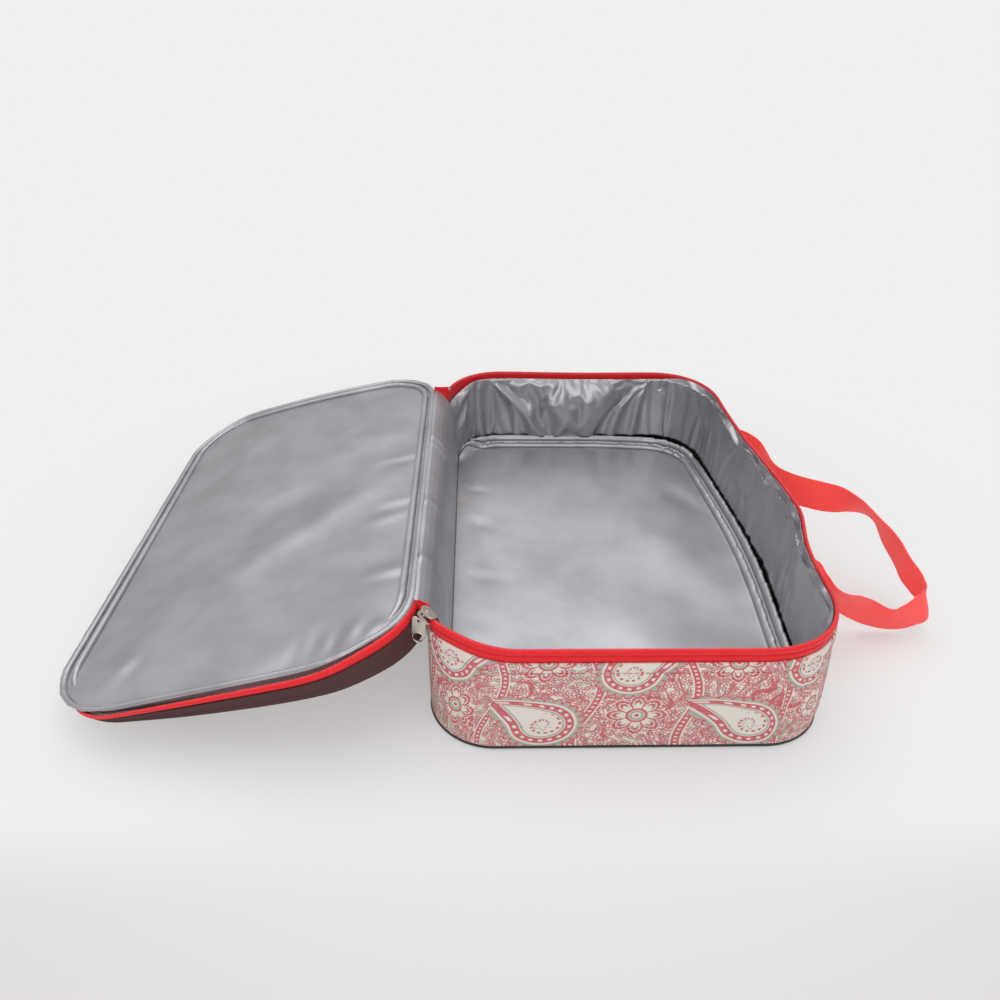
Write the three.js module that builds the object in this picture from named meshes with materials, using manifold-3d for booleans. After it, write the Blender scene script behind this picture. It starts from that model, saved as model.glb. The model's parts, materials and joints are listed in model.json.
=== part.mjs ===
// Insulated food bag, shown open: a shallow padded tray with rounded corners, a padded lid hinged
// along the left long side and laid back on the table, a zip round the other three sides, and one
// webbing loop on the right long side. Millimetres, Z up, origin at the middle of the tray's underside,
// +X from the hinge towards the handle.
import * as THREE from 'three';
import { mergeVertices } from 'three/addons/utils/BufferGeometryUtils.js';
import Module from 'manifold-3d';

const wasm = await Module();
wasm.setup();

// Driving dimensions of the bag
const bagWidth = 258;          // across the rim, hinge side to handle side
const bagLength = 405;         // along the hinge
const rimHeight = 84;          // table to the middle of the zip
const cornerRadius = 57;       // of all four corners in plan, at the rim
const wallTaper = 1;           // how far each wall leans in from rim to underside
const lidDepth = 18;           // middle of the zip to the lid's outer face

// Layers
const fabricThick = 1.2;       // printed outer fabric and black underside
const foamThick = 5;           // foam in the walls and floor
const lidFoamThick = 13.5;     // soft padding in the lid, which holds its lining up at the level of the zip
const lidSwell = 3.5;          // how far the lid's padding and lining swell in the middle
const lipFoamThick = 3;        // thinner foam in the lid's lip
const linerThick = 0.8;        // silver lining sheet
const boardThick = 2;          // stiffener under the floor foam
const bindingSize = 3.2;       // black tape folded over the outer seam of tray and lid
const weltSize = 3;            // ridge of the welded lining seam
const weltPitch = 6;           // one ridge of the double welt to the next
const seat = 0.3;              // gap between pieces that touch or are sewn together

// Zip
const tapeThick = 0.8;
const tapeShown = 9;           // tape and coil seen above the fabric's edge
const tapeSewn = 5;            // tape hidden between fabric and foam
const linerDrop = 6;           // middle of the zip down to the lining's edge
const coilWidth = 2.4;
const coilHeight = 1.6;
const zipGap = 1.4;            // room between the two coils for the slider's neck
const zipStart = 12;           // degrees round the corner from the hinge to the end of the tray's tape
const sliderPark = 24;         // degrees round the corner from the hinge to the slider when open
const stopLength = 2.4;         // of each end stop, along the zip
const sliderLength = 11;
const sliderPlate = 1.2;
const sliderSlack = 0.7;       // coil to plate, enough for the bend of the corner
const neckThick = 0.7;
const bailReach = 3.7;         // slider's plate to the middle of the bail's bar
const barThick = 1.1;
const pullWidth = 8.8;
const pullLength = 20;
const pullThick = 1.4;
const pullHole = 3.1;          // radius of the hole in the round free end

// Hinge and handle
const hingeGap = 3;            // lid's edge to the hinge line
const strapWidth = 25;
const strapThick = 1.8;
const handleSpan = 206;        // between the two sewn ends
const handleReach = 115;       // wall to the far side of the loop as it lies
const handleDrop = 22;         // middle of the zip down to the middle of the sewn ends
const sewnLength = 28;

const rad = Math.PI / 180;
const tapeInset = fabricThick + seat + tapeThick / 2;      // outer face in to the middle of the tape
const foamIn = tapeThick / 2 + seat;                       // middle of the tape in to the foam
const linerIn = foamIn + foamThick + seat;
const fabricTop = rimHeight - tapeShown;
const tapeFoot = fabricTop - tapeSewn;
const linerTop = rimHeight - linerDrop;
const wallFoot = bindingSize + seat * 2;
const boardFoot = fabricThick + seat;
const floorFoot = boardFoot + boardThick + seat;
const floorTop = floorFoot + foamThick + seat + linerThick;
const lidTop = rimHeight + lidDepth;
const lidFoamTop = lidTop - fabricThick - seat;
const lidFoamFoot = lidFoamTop - lidFoamThick;
const lidLinerFoot = lidFoamFoot - seat - linerThick;

// Hinge line, and the slope at which the open lid's far edge meets the table
const hingeX = -bagWidth / 2 - hingeGap;
const lidFar = bagWidth / 2 + 0.8 - hingeX;
const lidSlope = Math.asin((rimHeight - seat) / Math.hypot(lidFar, lidDepth)) - Math.atan2(lidDepth, lidFar);

// Walk round the plan anticlockwise: the first 90 degrees are the front hinge corner, the last the rear one
const quarter = 90;
const hingeFront = 2 * quarter;
const hingeRear = hingeFront + 4 * quarter;
function walk(from = hingeFront, to = hingeRear, steps = 10) {
  const out = [];
  for (let q = 0; q < 4; q++) {
    const a = Math.max(hingeFront + quarter * q, from);
    const b = Math.min(hingeFront + quarter * (q + 1), to);
    if (b <= a) continue;
    const x = (q === 0 || q === 3 ? -1 : 1) * (bagWidth / 2 - cornerRadius);
    const y = (q < 2 ? -1 : 1) * (bagLength / 2 - cornerRadius);
    const n = Math.max(2, Math.round(steps * (b - a) / quarter));
    for (let i = 0; i <= n; i++) out.push({ x, y, a: (a + (b - a) * i / n) * rad });
  }
  return out;
}
const spot = (s, out) => [s.x + (cornerRadius + out) * Math.cos(s.a), s.y + (cornerRadius + out) * Math.sin(s.a)];

// A side depth, counted outward from the tape, as an outset of the plan at height z
const trayOut = (side, z) => side - tapeInset - wallTaper * Math.max(0, rimHeight - z) / rimHeight;

function solid(points, faces) {
  const g = new THREE.BufferGeometry();
  g.setAttribute('position', new THREE.Float32BufferAttribute(points.flat(), 3));
  g.setIndex(faces.flat());
  g.computeVertexNormals();
  return g;
}

// A section of [side, z] points, anticlockwise with outside to the right, carried round the plan
function band(section, path = walk(), closed = true) {
  const m = section.length, n = path.length;
  const points = [], faces = [];
  for (const s of path) {
    for (const [side, z] of section) points.push([...spot(s, trayOut(side, z)), z]);
  }
  for (let i = 0; i < (closed ? n : n - 1); i++) {
    const k = (i + 1) % n;
    for (let j = 0; j < m; j++) {
      const l = (j + 1) % m;
      faces.push([i * m + j, k * m + j, k * m + l], [i * m + j, k * m + l, i * m + l]);
    }
  }
  if (!closed) {
    const flat = section.map(([x, y]) => new THREE.Vector2(x, y));
    for (const [a, b, c] of THREE.ShapeUtils.triangulateShape(flat, [])) {
      faces.push([a, b, c], [(n - 1) * m + c, (n - 1) * m + b, (n - 1) * m + a]);
    }
  }
  return solid(points, faces);
}

// A rectangle of section, and one with its corners taken off for soft ridges
const strip = (side, z, wide, tall) => [[side - wide, z], [side, z], [side, z + tall], [side - wide, z + tall]];
function ridge(side, z, wide, tall, rounds = 8) {
  const out = [];
  for (let i = 0; i < rounds; i++) {
    const a = (i + 0.5) * 2 * Math.PI / rounds;
    out.push([side + wide / 2 * Math.cos(a), z + tall / 2 * Math.sin(a)]);
  }
  return out;
}

// A flat panel that fills the plan out to a side depth
function panel(side, z, tall, at = z) {
  const shape = new THREE.Shape(walk().map((s) => new THREE.Vector2(...spot(s, trayOut(side, at)))));
  return new THREE.ExtrudeGeometry(shape, { depth: tall, bevelEnabled: false }).translate(0, 0, z);
}

// A panel whose faces swell towards the tray inside a flat border for the welts
const swellShares = [1, 0.9, 0.75, 0.5, 0.2];
function cushion(side, z, tall, footSwell, topSwell) {
  const rim = walk().map((s) => spot(s, trayOut(side, z)));
  const n = rim.length, rings = swellShares.length;
  const points = [], faces = [];
  for (const [level, swell] of [[z, footSwell], [z + tall, topSwell]]) {
    for (const share of swellShares) {
      const drop = swell * (1 - Math.min(1, share / swellShares[1]) ** 3);
      for (const [x, y] of rim) points.push([x * share, y * share, level - drop]);
    }
    points.push([0, 0, level - swell]);
  }
  const top = rings * n + 1;
  const both = (a, b, c) => faces.push([a, c, b], [top + a, top + b, top + c]);
  for (let i = 0; i < n; i++) {
    const k = (i + 1) % n;
    for (let r = 0; r < rings - 1; r++) {
      both(r * n + i, r * n + k, (r + 1) * n + k);
      both(r * n + i, (r + 1) * n + k, (r + 1) * n + i);
    }
    both((rings - 1) * n + i, (rings - 1) * n + k, rings * n);
    faces.push([i, k, top + k], [i, top + k, top + i]);
  }
  return solid(points, faces);
}

// Lid pieces are drawn closed and then swung back onto the table
const swing = new THREE.Matrix4().makeTranslation(hingeX, 0, rimHeight)
  .multiply(new THREE.Matrix4().makeRotationY(-(Math.PI + lidSlope)))
  .multiply(new THREE.Matrix4().makeTranslation(-hingeX, 0, -rimHeight));
const swung = (g) => g.applyMatrix4(swing);

const bag = new THREE.Group();
bag.name = 'insulated_lunch_bag';
const finish = {
  print: new THREE.MeshStandardMaterial({ name: 'printed_fabric', color: 0xd8b8b2, roughness: 0.85 }),
  black: new THREE.MeshStandardMaterial({ name: 'black_fabric', color: 0x1c1a1a, roughness: 0.8 }),
  liner: new THREE.MeshStandardMaterial(
    { name: 'silver_lining', color: 0xa6a6aa, roughness: 0.4, metalness: 0.5 }),
  foam: new THREE.MeshStandardMaterial({ name: 'white_foam', color: 0xf2f2f0, roughness: 0.95 }),
  board: new THREE.MeshStandardMaterial({ name: 'stiffener_board', color: 0xc9c5bd, roughness: 0.7 }),
  tape: new THREE.MeshStandardMaterial({ name: 'red_zip', color: 0xd02a32, roughness: 0.7 }),
  strap: new THREE.MeshStandardMaterial({ name: 'red_webbing', color: 0xf05450, roughness: 0.75 }),
  metal: new THREE.MeshStandardMaterial({ name: 'nickel', color: 0xc9c2b8, roughness: 0.3, metalness: 1 }),
};
function add(name, geometry, material) {
  const mesh = new THREE.Mesh(geometry, material.clone());
  mesh.material.name = material.name;
  mesh.name = name;
  bag.add(mesh);
}

// Tray: underside, stiffener and floor
add('bottom_panel', panel(-0.4, 0, fabricThick), finish.black);
const bindingSide = tapeInset + 0.8;
add('bottom_binding', band([
  [-0.1, seat], [bindingSide - 0.8, seat], [bindingSide, seat + 0.8], [bindingSide, bindingSize - 0.6],
  [bindingSide - 0.8, bindingSize + seat], [foamIn + 0.3, bindingSize + seat], [foamIn + 0.3, boardFoot + seat],
  [-0.1, boardFoot + seat],
]), finish.black);
add('base_board', panel(-linerIn + seat, boardFoot, boardThick, boardFoot), finish.board);
add('floor_foam', panel(-linerIn + seat, floorFoot, foamThick, floorFoot), finish.foam);
add('floor_liner', panel(-linerIn - linerThick - seat, floorTop - linerThick, linerThick), finish.liner);
const weltSide = linerIn + linerThick + seat + weltPitch / 2 + 2;
const welt = (side, z) => band(ridge(-side, z, weltPitch * 0.7, weltSize));
const floorWeltZ = floorTop + seat + weltSize / 2;
add('floor_welt_outer', welt(weltSide, floorWeltZ), finish.liner);
add('floor_welt_inner', welt(weltSide + weltPitch, floorWeltZ), finish.liner);

// Tray: walls
add('wall_fabric', band(strip(tapeInset, wallFoot, fabricThick, fabricTop - wallFoot)), finish.print);
add('wall_foam', band([
  [-foamIn - foamThick, boardFoot], [-0.4, boardFoot], [-0.4, wallFoot], [tapeThick / 2, wallFoot],
  [tapeThick / 2, tapeFoot - seat], [-foamIn, tapeFoot - seat], [-foamIn, linerTop],
  [-foamIn - foamThick, linerTop],
]), finish.foam);
const wallLinerFoot = floorTop - linerThick;
add('wall_liner', band(strip(-linerIn, wallLinerFoot, linerThick, linerTop - wallLinerFoot)), finish.liner);

// Zip halves: tape with a coil sewn along its edge
const tapeEdge = zipGap / 2 + coilHeight + 0.1;
function tapeSection(foot, top) {
  return strip(tapeThick / 2, foot, tapeThick, top - foot);
}
const coilSection = (z) => ridge(0, z, coilWidth, coilHeight, 6);
const trayRun = walk(hingeFront + zipStart, hingeRear - zipStart, 12);
const lidStart = sliderPark + (sliderLength / 2 + 2) / (cornerRadius - tapeInset) / rad;
const lidRun = walk(hingeFront + lidStart, hingeRear - zipStart, 12);
add('zip_tape_tray', band(tapeSection(tapeFoot, rimHeight - tapeEdge), trayRun, false), finish.tape);
const turn = (length) => length / (cornerRadius - tapeInset) / rad;
const stopTurn = turn(stopLength);
const coilEnd = hingeRear - zipStart - stopTurn - turn(seat);
add('zip_coil_tray', band(coilSection(rimHeight - zipGap / 2 - coilHeight / 2),
  walk(hingeFront + zipStart + stopTurn + turn(seat), coilEnd, 12), false), finish.tape);

// End stops, crimped on the tape past the coils: the front one spans both halves, the rear ones are a pair
function stop(from, foot, top) {
  const section = strip(coilWidth / 2 + 0.3, foot, coilWidth + 0.6, top - foot);
  return band(section, walk(from, from + stopTurn, 24), false);
}
add('zip_bottom_stop', stop(hingeFront + zipStart, rimHeight - tapeEdge + seat, rimHeight + tapeEdge - seat),
  finish.metal);
add('zip_top_stop_tray', stop(hingeRear - zipStart - stopTurn, rimHeight - tapeEdge + seat, rimHeight - zipGap / 2),
  finish.metal);

// Lid: printed panel, dark lip, foam, lining with its double welt, and the lid's half of the zip
add('lid_panel_fabric', swung(panel(tapeInset - 2.2, lidTop - fabricThick, fabricThick)), finish.print);
add('lid_binding', swung(band([
  [tapeInset - 1.9, lidTop - bindingSize - seat], [bindingSide - 0.8, lidTop - bindingSize - seat],
  [bindingSide, lidTop - bindingSize + 0.6], [bindingSide, lidTop - 0.8], [bindingSide - 0.8, lidTop],
  [tapeInset - 1.9, lidTop],
])), finish.black);
const lipTop = lidTop - bindingSize - seat * 2;
const lipFoot = rimHeight + tapeShown, lipFoamFoot = rimHeight + linerDrop;
add('lid_lip_fabric', swung(band(strip(tapeInset, lipFoot, fabricThick, lipTop - lipFoot))), finish.black);
add('lid_lip_foam', swung(band(strip(-foamIn, lipFoamFoot, lipFoamThick, lidFoamTop - lipFoamFoot))), finish.foam);
const lidSide = foamIn + lipFoamThick + seat;
const lidInner = lidSide + linerThick + seat;
add('lid_foam', swung(cushion(-lidInner, lidFoamFoot, lidFoamThick, lidSwell, 0)), finish.foam);
add('lid_lip_liner', swung(band(strip(-lidSide, lidLinerFoot, linerThick, lidFoamTop - lidLinerFoot))),
  finish.liner);
add('lid_liner', swung(cushion(-lidInner, lidLinerFoot, linerThick, lidSwell, lidSwell)), finish.liner);
const lidWelt = lidInner + weltPitch / 2;
const lidWeltZ = lidLinerFoot - seat - weltSize / 2;
add('lid_welt_outer', swung(welt(lidWelt, lidWeltZ)), finish.liner);
add('lid_welt_inner', swung(welt(lidWelt + weltPitch, lidWeltZ)), finish.liner);
add('zip_tape_lid', swung(band(tapeSection(rimHeight + tapeEdge, rimHeight + tapeShown + tapeSewn), lidRun, false)),
  finish.tape);
add('zip_coil_lid', swung(band(coilSection(rimHeight + zipGap / 2 + coilHeight / 2),
  walk(hingeFront + lidStart, coilEnd, 12), false)), finish.tape);
add('zip_top_stop_lid', swung(stop(hingeRear - zipStart - stopTurn, rimHeight + zipGap / 2,
  rimHeight + tapeEdge - seat)), finish.metal);

// Hinge: a folded fabric strip between the layers of tray and lid, and a lining strip over it.
// Both run along the straight of the left side and are drawn as the open bag holds them.
const leaf = new THREE.Vector3();
function laidBack(x, z) {
  leaf.set(x, 0, z).applyMatrix4(swing);
  return new THREE.Vector2(leaf.x, leaf.z);
}
function ribbon(line, thick, along) {
  const left = [], right = [];
  line.forEach((p, i) => {
    const d = line[Math.min(i + 1, line.length - 1)].clone().sub(line[Math.max(i - 1, 0)]).normalize();
    left.push(new THREE.Vector2(p.x - d.y * thick / 2, p.y + d.x * thick / 2));
    right.push(new THREE.Vector2(p.x + d.y * thick / 2, p.y - d.x * thick / 2));
  });
  const shape = new THREE.Shape([...left, ...right.reverse()]);
  const g = new THREE.ExtrudeGeometry(shape, { depth: along, bevelEnabled: false });
  return g.translate(0, 0, -along / 2).rotateX(Math.PI / 2);
}
function arch(a, b, rise, steps = 6) {
  const out = [];
  for (let i = 0; i <= steps; i++) {
    const t = i / steps;
    out.push(new THREE.Vector2(a.x + (b.x - a.x) * t, a.y + (b.y - a.y) * t + rise * Math.sin(Math.PI * t)));
  }
  return out;
}
const hingeRun = bagLength - 2 * cornerRadius - 4;
const wallX = (side, z) => -bagWidth / 2 - trayOut(side, z);
const legTop = rimHeight - 5;
const gussetA = new THREE.Vector2(wallX(0, legTop), legTop);
const gussetB = laidBack(wallX(0, rimHeight + 5), rimHeight + 5);
add('hinge_gusset', ribbon([
  new THREE.Vector2(wallX(0, tapeFoot), tapeFoot), ...arch(gussetA, gussetB, 3.4),
  laidBack(wallX(0, rimHeight + tapeShown + tapeSewn), rimHeight + tapeShown + tapeSewn),
], tapeThick, hingeRun), finish.print);
const linerA = new THREE.Vector2(wallX(-linerIn - linerThick / 2, linerTop), linerTop + seat * 2);
const linerB = laidBack(wallX(-lidSide - linerThick / 2, lidLinerFoot), lidLinerFoot - seat * 2);
add('hinge_liner', ribbon(arch(linerA, linerB, 6.5, 8), linerThick, hingeRun), finish.liner);

// Handle: sewn ends lie flat on the right wall, and the loop between them droops to the table
const flat = wallTaper / rimHeight;
const handleHeight = rimHeight - handleDrop;
const strapX = bagWidth / 2 - flat * handleDrop + seat + strapThick / 2;
for (const [name, sign] of [['handle_end_front', -1], ['handle_end_rear', 1]]) {
  const g = new THREE.BoxGeometry(strapThick, sewnLength, strapWidth);
  g.rotateY(Math.atan(flat)).translate(strapX, sign * (handleSpan / 2 + seat * 2 + sewnLength / 2), handleHeight);
  add(name, g, finish.strap);
}
// Along the loop: reach from the wall, place along the wall, height, and the lean of the strap's width
const loop = [
  [0, 1, 1, flat, 0], [0.002, 0.88, 1, flat, 0], [0.05, 0.66, 1.04, 0.06, 0.03], [0.15, 0.38, 1.09, 0.1, 0.1],
  [0.24, 0.08, 1.14, 0.14, 0.3], [0.4, -0.09, 1.13, 0.12, 0.45], [0.62, -0.07, 1, 0.2, 0.45],
  [0.79, -0.12, 0.8, 0.45, 0.42], [0.9, -0.38, 0.58, 0.6, 0.38], [0.97, -0.66, 0.38, 0.45, 0.32],
  [0.93, -0.84, 0.27, 0.15, 0.3], [0.72, -0.93, 0.24, 0, 0.36], [0.5, -0.94, 0.38, 0, 0.4],
  [0.29, -0.94, 0.64, 0.05, 0.3], [0.14, -0.84, 0.87, 0.06, 0.1], [0.04, -0.82, 0.97, 0.03, 0.03],
  [0.003, -0.9, 1, flat, 0], [0, -1, 1, flat, 0],
];
const course = new THREE.CatmullRomCurve3(loop.map(([r, y, z]) =>
  new THREE.Vector3(strapX + r * handleReach, y * handleSpan / 2, z * handleHeight)), false, 'centripetal');
const widths = new THREE.CatmullRomCurve3(
  loop.map(([, , , x, y]) => new THREE.Vector3(x, y, 1)), false, 'centripetal');
function webbing(steps) {
  const points = [], faces = [];
  for (let i = 0; i <= steps; i++) {
    const u = i / steps;
    const p = course.getPoint(u), t = course.getTangent(u);
    const w = widths.getPoint(u).setZ(1);
    w.addScaledVector(t, -w.dot(t)).normalize();
    const n = new THREE.Vector3().crossVectors(w, t).normalize();
    for (const [a, b] of [[-1, -1], [1, -1], [1, 1], [-1, 1]]) {
      const q = p.clone().addScaledVector(n, a * strapThick / 2).addScaledVector(w, b * strapWidth / 2);
      points.push(q.toArray());
    }
  }
  for (let i = 0; i < steps; i++) {
    for (let j = 0; j < 4; j++) {
      const a = i * 4 + j, b = i * 4 + (j + 1) % 4;
      faces.push([a, b, b + 4], [a, b + 4, a + 4]);
    }
  }
  const e = steps * 4;
  faces.push([0, 2, 1], [0, 3, 2], [e, e + 1, e + 2], [e, e + 2, e + 3]);
  return solid(points, faces);
}
add('handle_strap', webbing(42), finish.strap);

// Slider: two plates with flanges that leave slits for the tapes, a neck between the coils, and a bail.
// Drawn with X outward from the wall, Y along the zip and Z up, then set on the corner's arc.
function body(geometry) {
  const g = mergeVertices(geometry.deleteAttribute('normal').deleteAttribute('uv'), 1e-4);
  return new wasm.Manifold(new wasm.Mesh({
    numProp: 3, vertProperties: g.attributes.position.array.slice(), triVerts: new Uint32Array(g.index.array),
  }));
}
function block(x0, x1, y0, y1, z0, z1) {
  return body(new THREE.BoxGeometry(x1 - x0, y1 - y0, z1 - z0)
    .translate((x0 + x1) / 2, (y0 + y1) / 2, (z0 + z1) / 2));
}
function fromManifold(m) {
  const mesh = m.getMesh();
  const g = new THREE.BufferGeometry();
  g.setAttribute('position', new THREE.Float32BufferAttribute(mesh.vertProperties, 3));
  g.setIndex(Array.from(mesh.triVerts));
  g.computeVertexNormals();
  return g;
}
const channel = coilWidth / 2 + sliderSlack;
const plateFace = channel + sliderPlate;
const slit = tapeThick / 2 + sliderSlack;
const flange = zipGap / 2 + coilHeight + 0.4;
const half = sliderLength / 2;
function plate(x) {
  const tail = flange + 1, wide = flange + 1.9;
  const shape = new THREE.Shape([
    [-half, -tail + 0.5], [-half + 0.5, -tail], [half * 0.25, -wide], [half * 0.75, -wide + 0.3],
    [half, -wide + 2], [half, wide - 2], [half * 0.75, wide - 0.3], [half * 0.25, wide],
    [-half + 0.5, tail], [-half, tail - 0.5],
  ].map(([y, z]) => new THREE.Vector2(y, z)));
  const g = new THREE.ExtrudeGeometry(shape, { depth: sliderPlate, bevelEnabled: false });
  g.applyMatrix4(new THREE.Matrix4().makeBasis(
    new THREE.Vector3(0, 1, 0), new THREE.Vector3(0, 0, 1), new THREE.Vector3(1, 0, 0)));
  return body(g.translate(x, 0, 0));
}
const barX = plateFace + bailReach;
let slider = plate(channel).add(plate(-plateFace))
  .add(block(-channel - 0.1, channel + 0.1, half - 2.2, half - 0.2, -neckThick / 2, neckThick / 2));
for (const side of [-1, 1]) {
  for (const up of [-1, 1]) {
    const x = side > 0 ? [slit, channel + 0.1] : [-channel - 0.1, -slit];
    const z = up > 0 ? [flange, flange + 0.9] : [-flange - 0.9, -flange];
    slider = slider.add(block(...x, -half + 0.4, half * 0.35, ...z));
  }
  slider = slider.add(block(plateFace - 0.1, barX, side * 3.2 - 0.6, side * 3.2 + 0.6, -1, 1));
}
slider = slider.add(block(barX - barThick / 2, barX + barThick / 2, -3.8, 3.8, -1, 1));
const parkAngle = (hingeFront + sliderPark) * rad;
const park = new THREE.Vector3(
  ...spot({ x: -bagWidth / 2 + cornerRadius, y: -bagLength / 2 + cornerRadius, a: parkAngle }, -tapeInset - 0.16),
  rimHeight);
const set = new THREE.Matrix4().makeBasis(
  new THREE.Vector3(Math.cos(parkAngle), Math.sin(parkAngle), 0),
  new THREE.Vector3(-Math.sin(parkAngle), Math.cos(parkAngle), 0),
  new THREE.Vector3(0, 0, 1)).setPosition(park);
add('slider_body', fromManifold(slider).applyMatrix4(set), finish.metal);

// Pull: a flat tab that hangs edge-on from the bail, with an eye round the bar and a hole below
const eye = Math.hypot(barThick / 2, 1) + seat + 0.15;
const ear = eye + 1.2;
const tab = new THREE.Shape();
tab.absarc(0, 0, ear, -50 * rad, 230 * rad, false);
const w = pullWidth / 2, foot = -pullLength + ear;
[[-ear * 0.6, -4.4], [-w, -6.2], [-w, foot + w]].forEach(([x, y]) => tab.lineTo(x, y));
tab.absarc(0, foot + w, w, Math.PI, 2 * Math.PI, false);
[[w, -6.2], [ear * 0.6, -4.4]].forEach(([x, y]) => tab.lineTo(x, y));
tab.holes.push(new THREE.Path().absarc(0, 0, eye, 0, 2 * Math.PI, true));
tab.holes.push(new THREE.Path().absarc(0, foot + w, pullHole, 0, 2 * Math.PI, true));
const pull = new THREE.ExtrudeGeometry(tab, { depth: pullThick, bevelEnabled: false, curveSegments: 10 });
pull.translate(0, 0, -pullThick / 2);
pull.applyMatrix4(new THREE.Matrix4().makeBasis(
  new THREE.Vector3(1, 0, 0), new THREE.Vector3(0, 0, 1), new THREE.Vector3(0, -1, 0)));
pull.translate(barX, 0, 0);
add('pull_tab', pull.applyMatrix4(set), finish.metal);

export default bag;
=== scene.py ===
"""Soft surfaces, finishes and studio for an insulated lunch bag that lies open, built on its frame."""

import json
import math

import bmesh
import bpy
import numpy as np
from mathutils import Matrix, Vector


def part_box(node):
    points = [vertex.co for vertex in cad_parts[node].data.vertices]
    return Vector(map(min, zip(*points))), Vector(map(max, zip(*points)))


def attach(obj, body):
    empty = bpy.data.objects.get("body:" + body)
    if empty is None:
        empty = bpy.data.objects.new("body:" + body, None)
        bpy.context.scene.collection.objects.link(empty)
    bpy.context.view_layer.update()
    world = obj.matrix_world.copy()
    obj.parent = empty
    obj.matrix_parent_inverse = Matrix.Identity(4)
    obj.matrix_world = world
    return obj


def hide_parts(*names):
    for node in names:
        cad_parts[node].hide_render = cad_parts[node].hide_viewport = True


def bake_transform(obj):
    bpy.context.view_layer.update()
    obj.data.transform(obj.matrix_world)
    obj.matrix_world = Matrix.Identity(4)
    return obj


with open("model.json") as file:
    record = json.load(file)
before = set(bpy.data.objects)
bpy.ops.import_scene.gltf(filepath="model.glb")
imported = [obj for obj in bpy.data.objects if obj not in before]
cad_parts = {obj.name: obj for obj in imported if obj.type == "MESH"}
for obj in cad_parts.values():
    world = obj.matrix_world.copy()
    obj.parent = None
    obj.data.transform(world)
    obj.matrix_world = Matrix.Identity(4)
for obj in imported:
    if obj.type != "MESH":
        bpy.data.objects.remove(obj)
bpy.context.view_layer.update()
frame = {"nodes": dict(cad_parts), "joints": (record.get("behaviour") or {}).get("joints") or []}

bl_info = {
    "name": "Insulated Lunch Bag",
    "version": (1, 0, 0),
    "blender": (4, 5, 0),
    "location": "View3D > Sidebar > Lunch Bag",
    "description": "Dresses the frame of an open insulated lunch bag in fabric, lining, zip and webbing",
    "category": "Object",
}

MM = 0.001
joints = {joint["name"]: joint for joint in frame["joints"]}
hinge_x, _, rim_z = joints["lid_hinge"]["pos_m"]
lid_slope = math.radians(joints["lid_hinge"]["range_deg"][1] - 180)
wall_low, wall_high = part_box("wall_fabric")
corner_x = joints["slider_travel"]["pos_m"][0]


def srgb(red, green, blue):
    """A colour of 0 to 255 as the linear values that a shader takes."""
    parts = [c / 255 for c in (red, green, blue)]
    return tuple(c / 12.92 if c < 0.04045 else ((c + 0.055) / 1.055) ** 2.4 for c in parts)


def scaled(tone, share):
    """A colour made darker or lighter."""
    return tuple(c * share for c in tone)


def length_of(name, value, description):
    """A length in metres that the sidebar shows with its unit."""
    return bpy.props.FloatProperty(name=name, description=description, default=value, subtype="DISTANCE",
                                   unit="LENGTH", precision=4)


def colour_of(name, value, description):
    """A colour that the sidebar shows as a swatch."""
    return bpy.props.FloatVectorProperty(name=name, description=description, default=srgb(*value), size=3,
                                         subtype="COLOR", min=0, max=1)


class BagSizes(bpy.types.PropertyGroup):
    """Sizes of the soft goods; the overall ones come from the frame."""
    rim_width: length_of("Rim width", -2 * wall_low.x + 0.2 * MM, "Across the rim from hinge to handle side")
    rim_length: length_of("Rim length", 2 * wall_high.y + 0.2 * MM, "Along the hinge")
    rim_height: length_of("Rim height", rim_z, "Table to the middle of the zip")
    corner_radius: length_of("Corner radius", corner_x - wall_low.x + 0.1 * MM, "Corners in plan, at the rim")
    wall_taper: length_of("Wall taper", 1 * MM, "How far a wall leans in at its foot")
    side_bow: length_of("Side bow", 13.5 * MM, "How far the handle side of the rim is pulled out")
    rim_splay: length_of("Rim splay", 4.5 * MM, "How far the rim of the handle side stands out")
    foot_bow: length_of("Foot bow", 14 * MM, "How far the handle side bows at the floor")
    zip_corner: length_of("Zip corner", 4.4 * MM, "How far the open zip pulls the front hinge corner out")
    foot_radius: length_of("Foot radius", 43 * MM, "Corners in plan, at the foot of the walls")
    lid_depth: length_of("Lid depth", 18 * MM, "Zip to the outer face of the lid")
    lining_thick: length_of("Lining thickness", 0.5 * MM, "Silver lining sheet")
    welt_width: length_of("Welt width", 5.4 * MM, "One ridge of the welded seam")
    welt_height: length_of("Welt height", 4.2 * MM, "One ridge of the welded seam")
    welt_pitch: length_of("Welt pitch", 7.0 * MM, "One ridge to the next")
    strap_width: length_of("Webbing width", 25 * MM, "Handle webbing")
    strap_thick: length_of("Webbing thickness", 1.7 * MM, "Handle webbing")
    coil_pitch: length_of("Coil pitch", 1.6 * MM, "One turn of the zip coil to the next")
    motif_width: length_of("Motif width", 56 * MM, "Columns of the printed pattern")
    motif_height: length_of("Motif height", 90 * MM, "Repeat of the printed pattern up the cloth")


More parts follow.
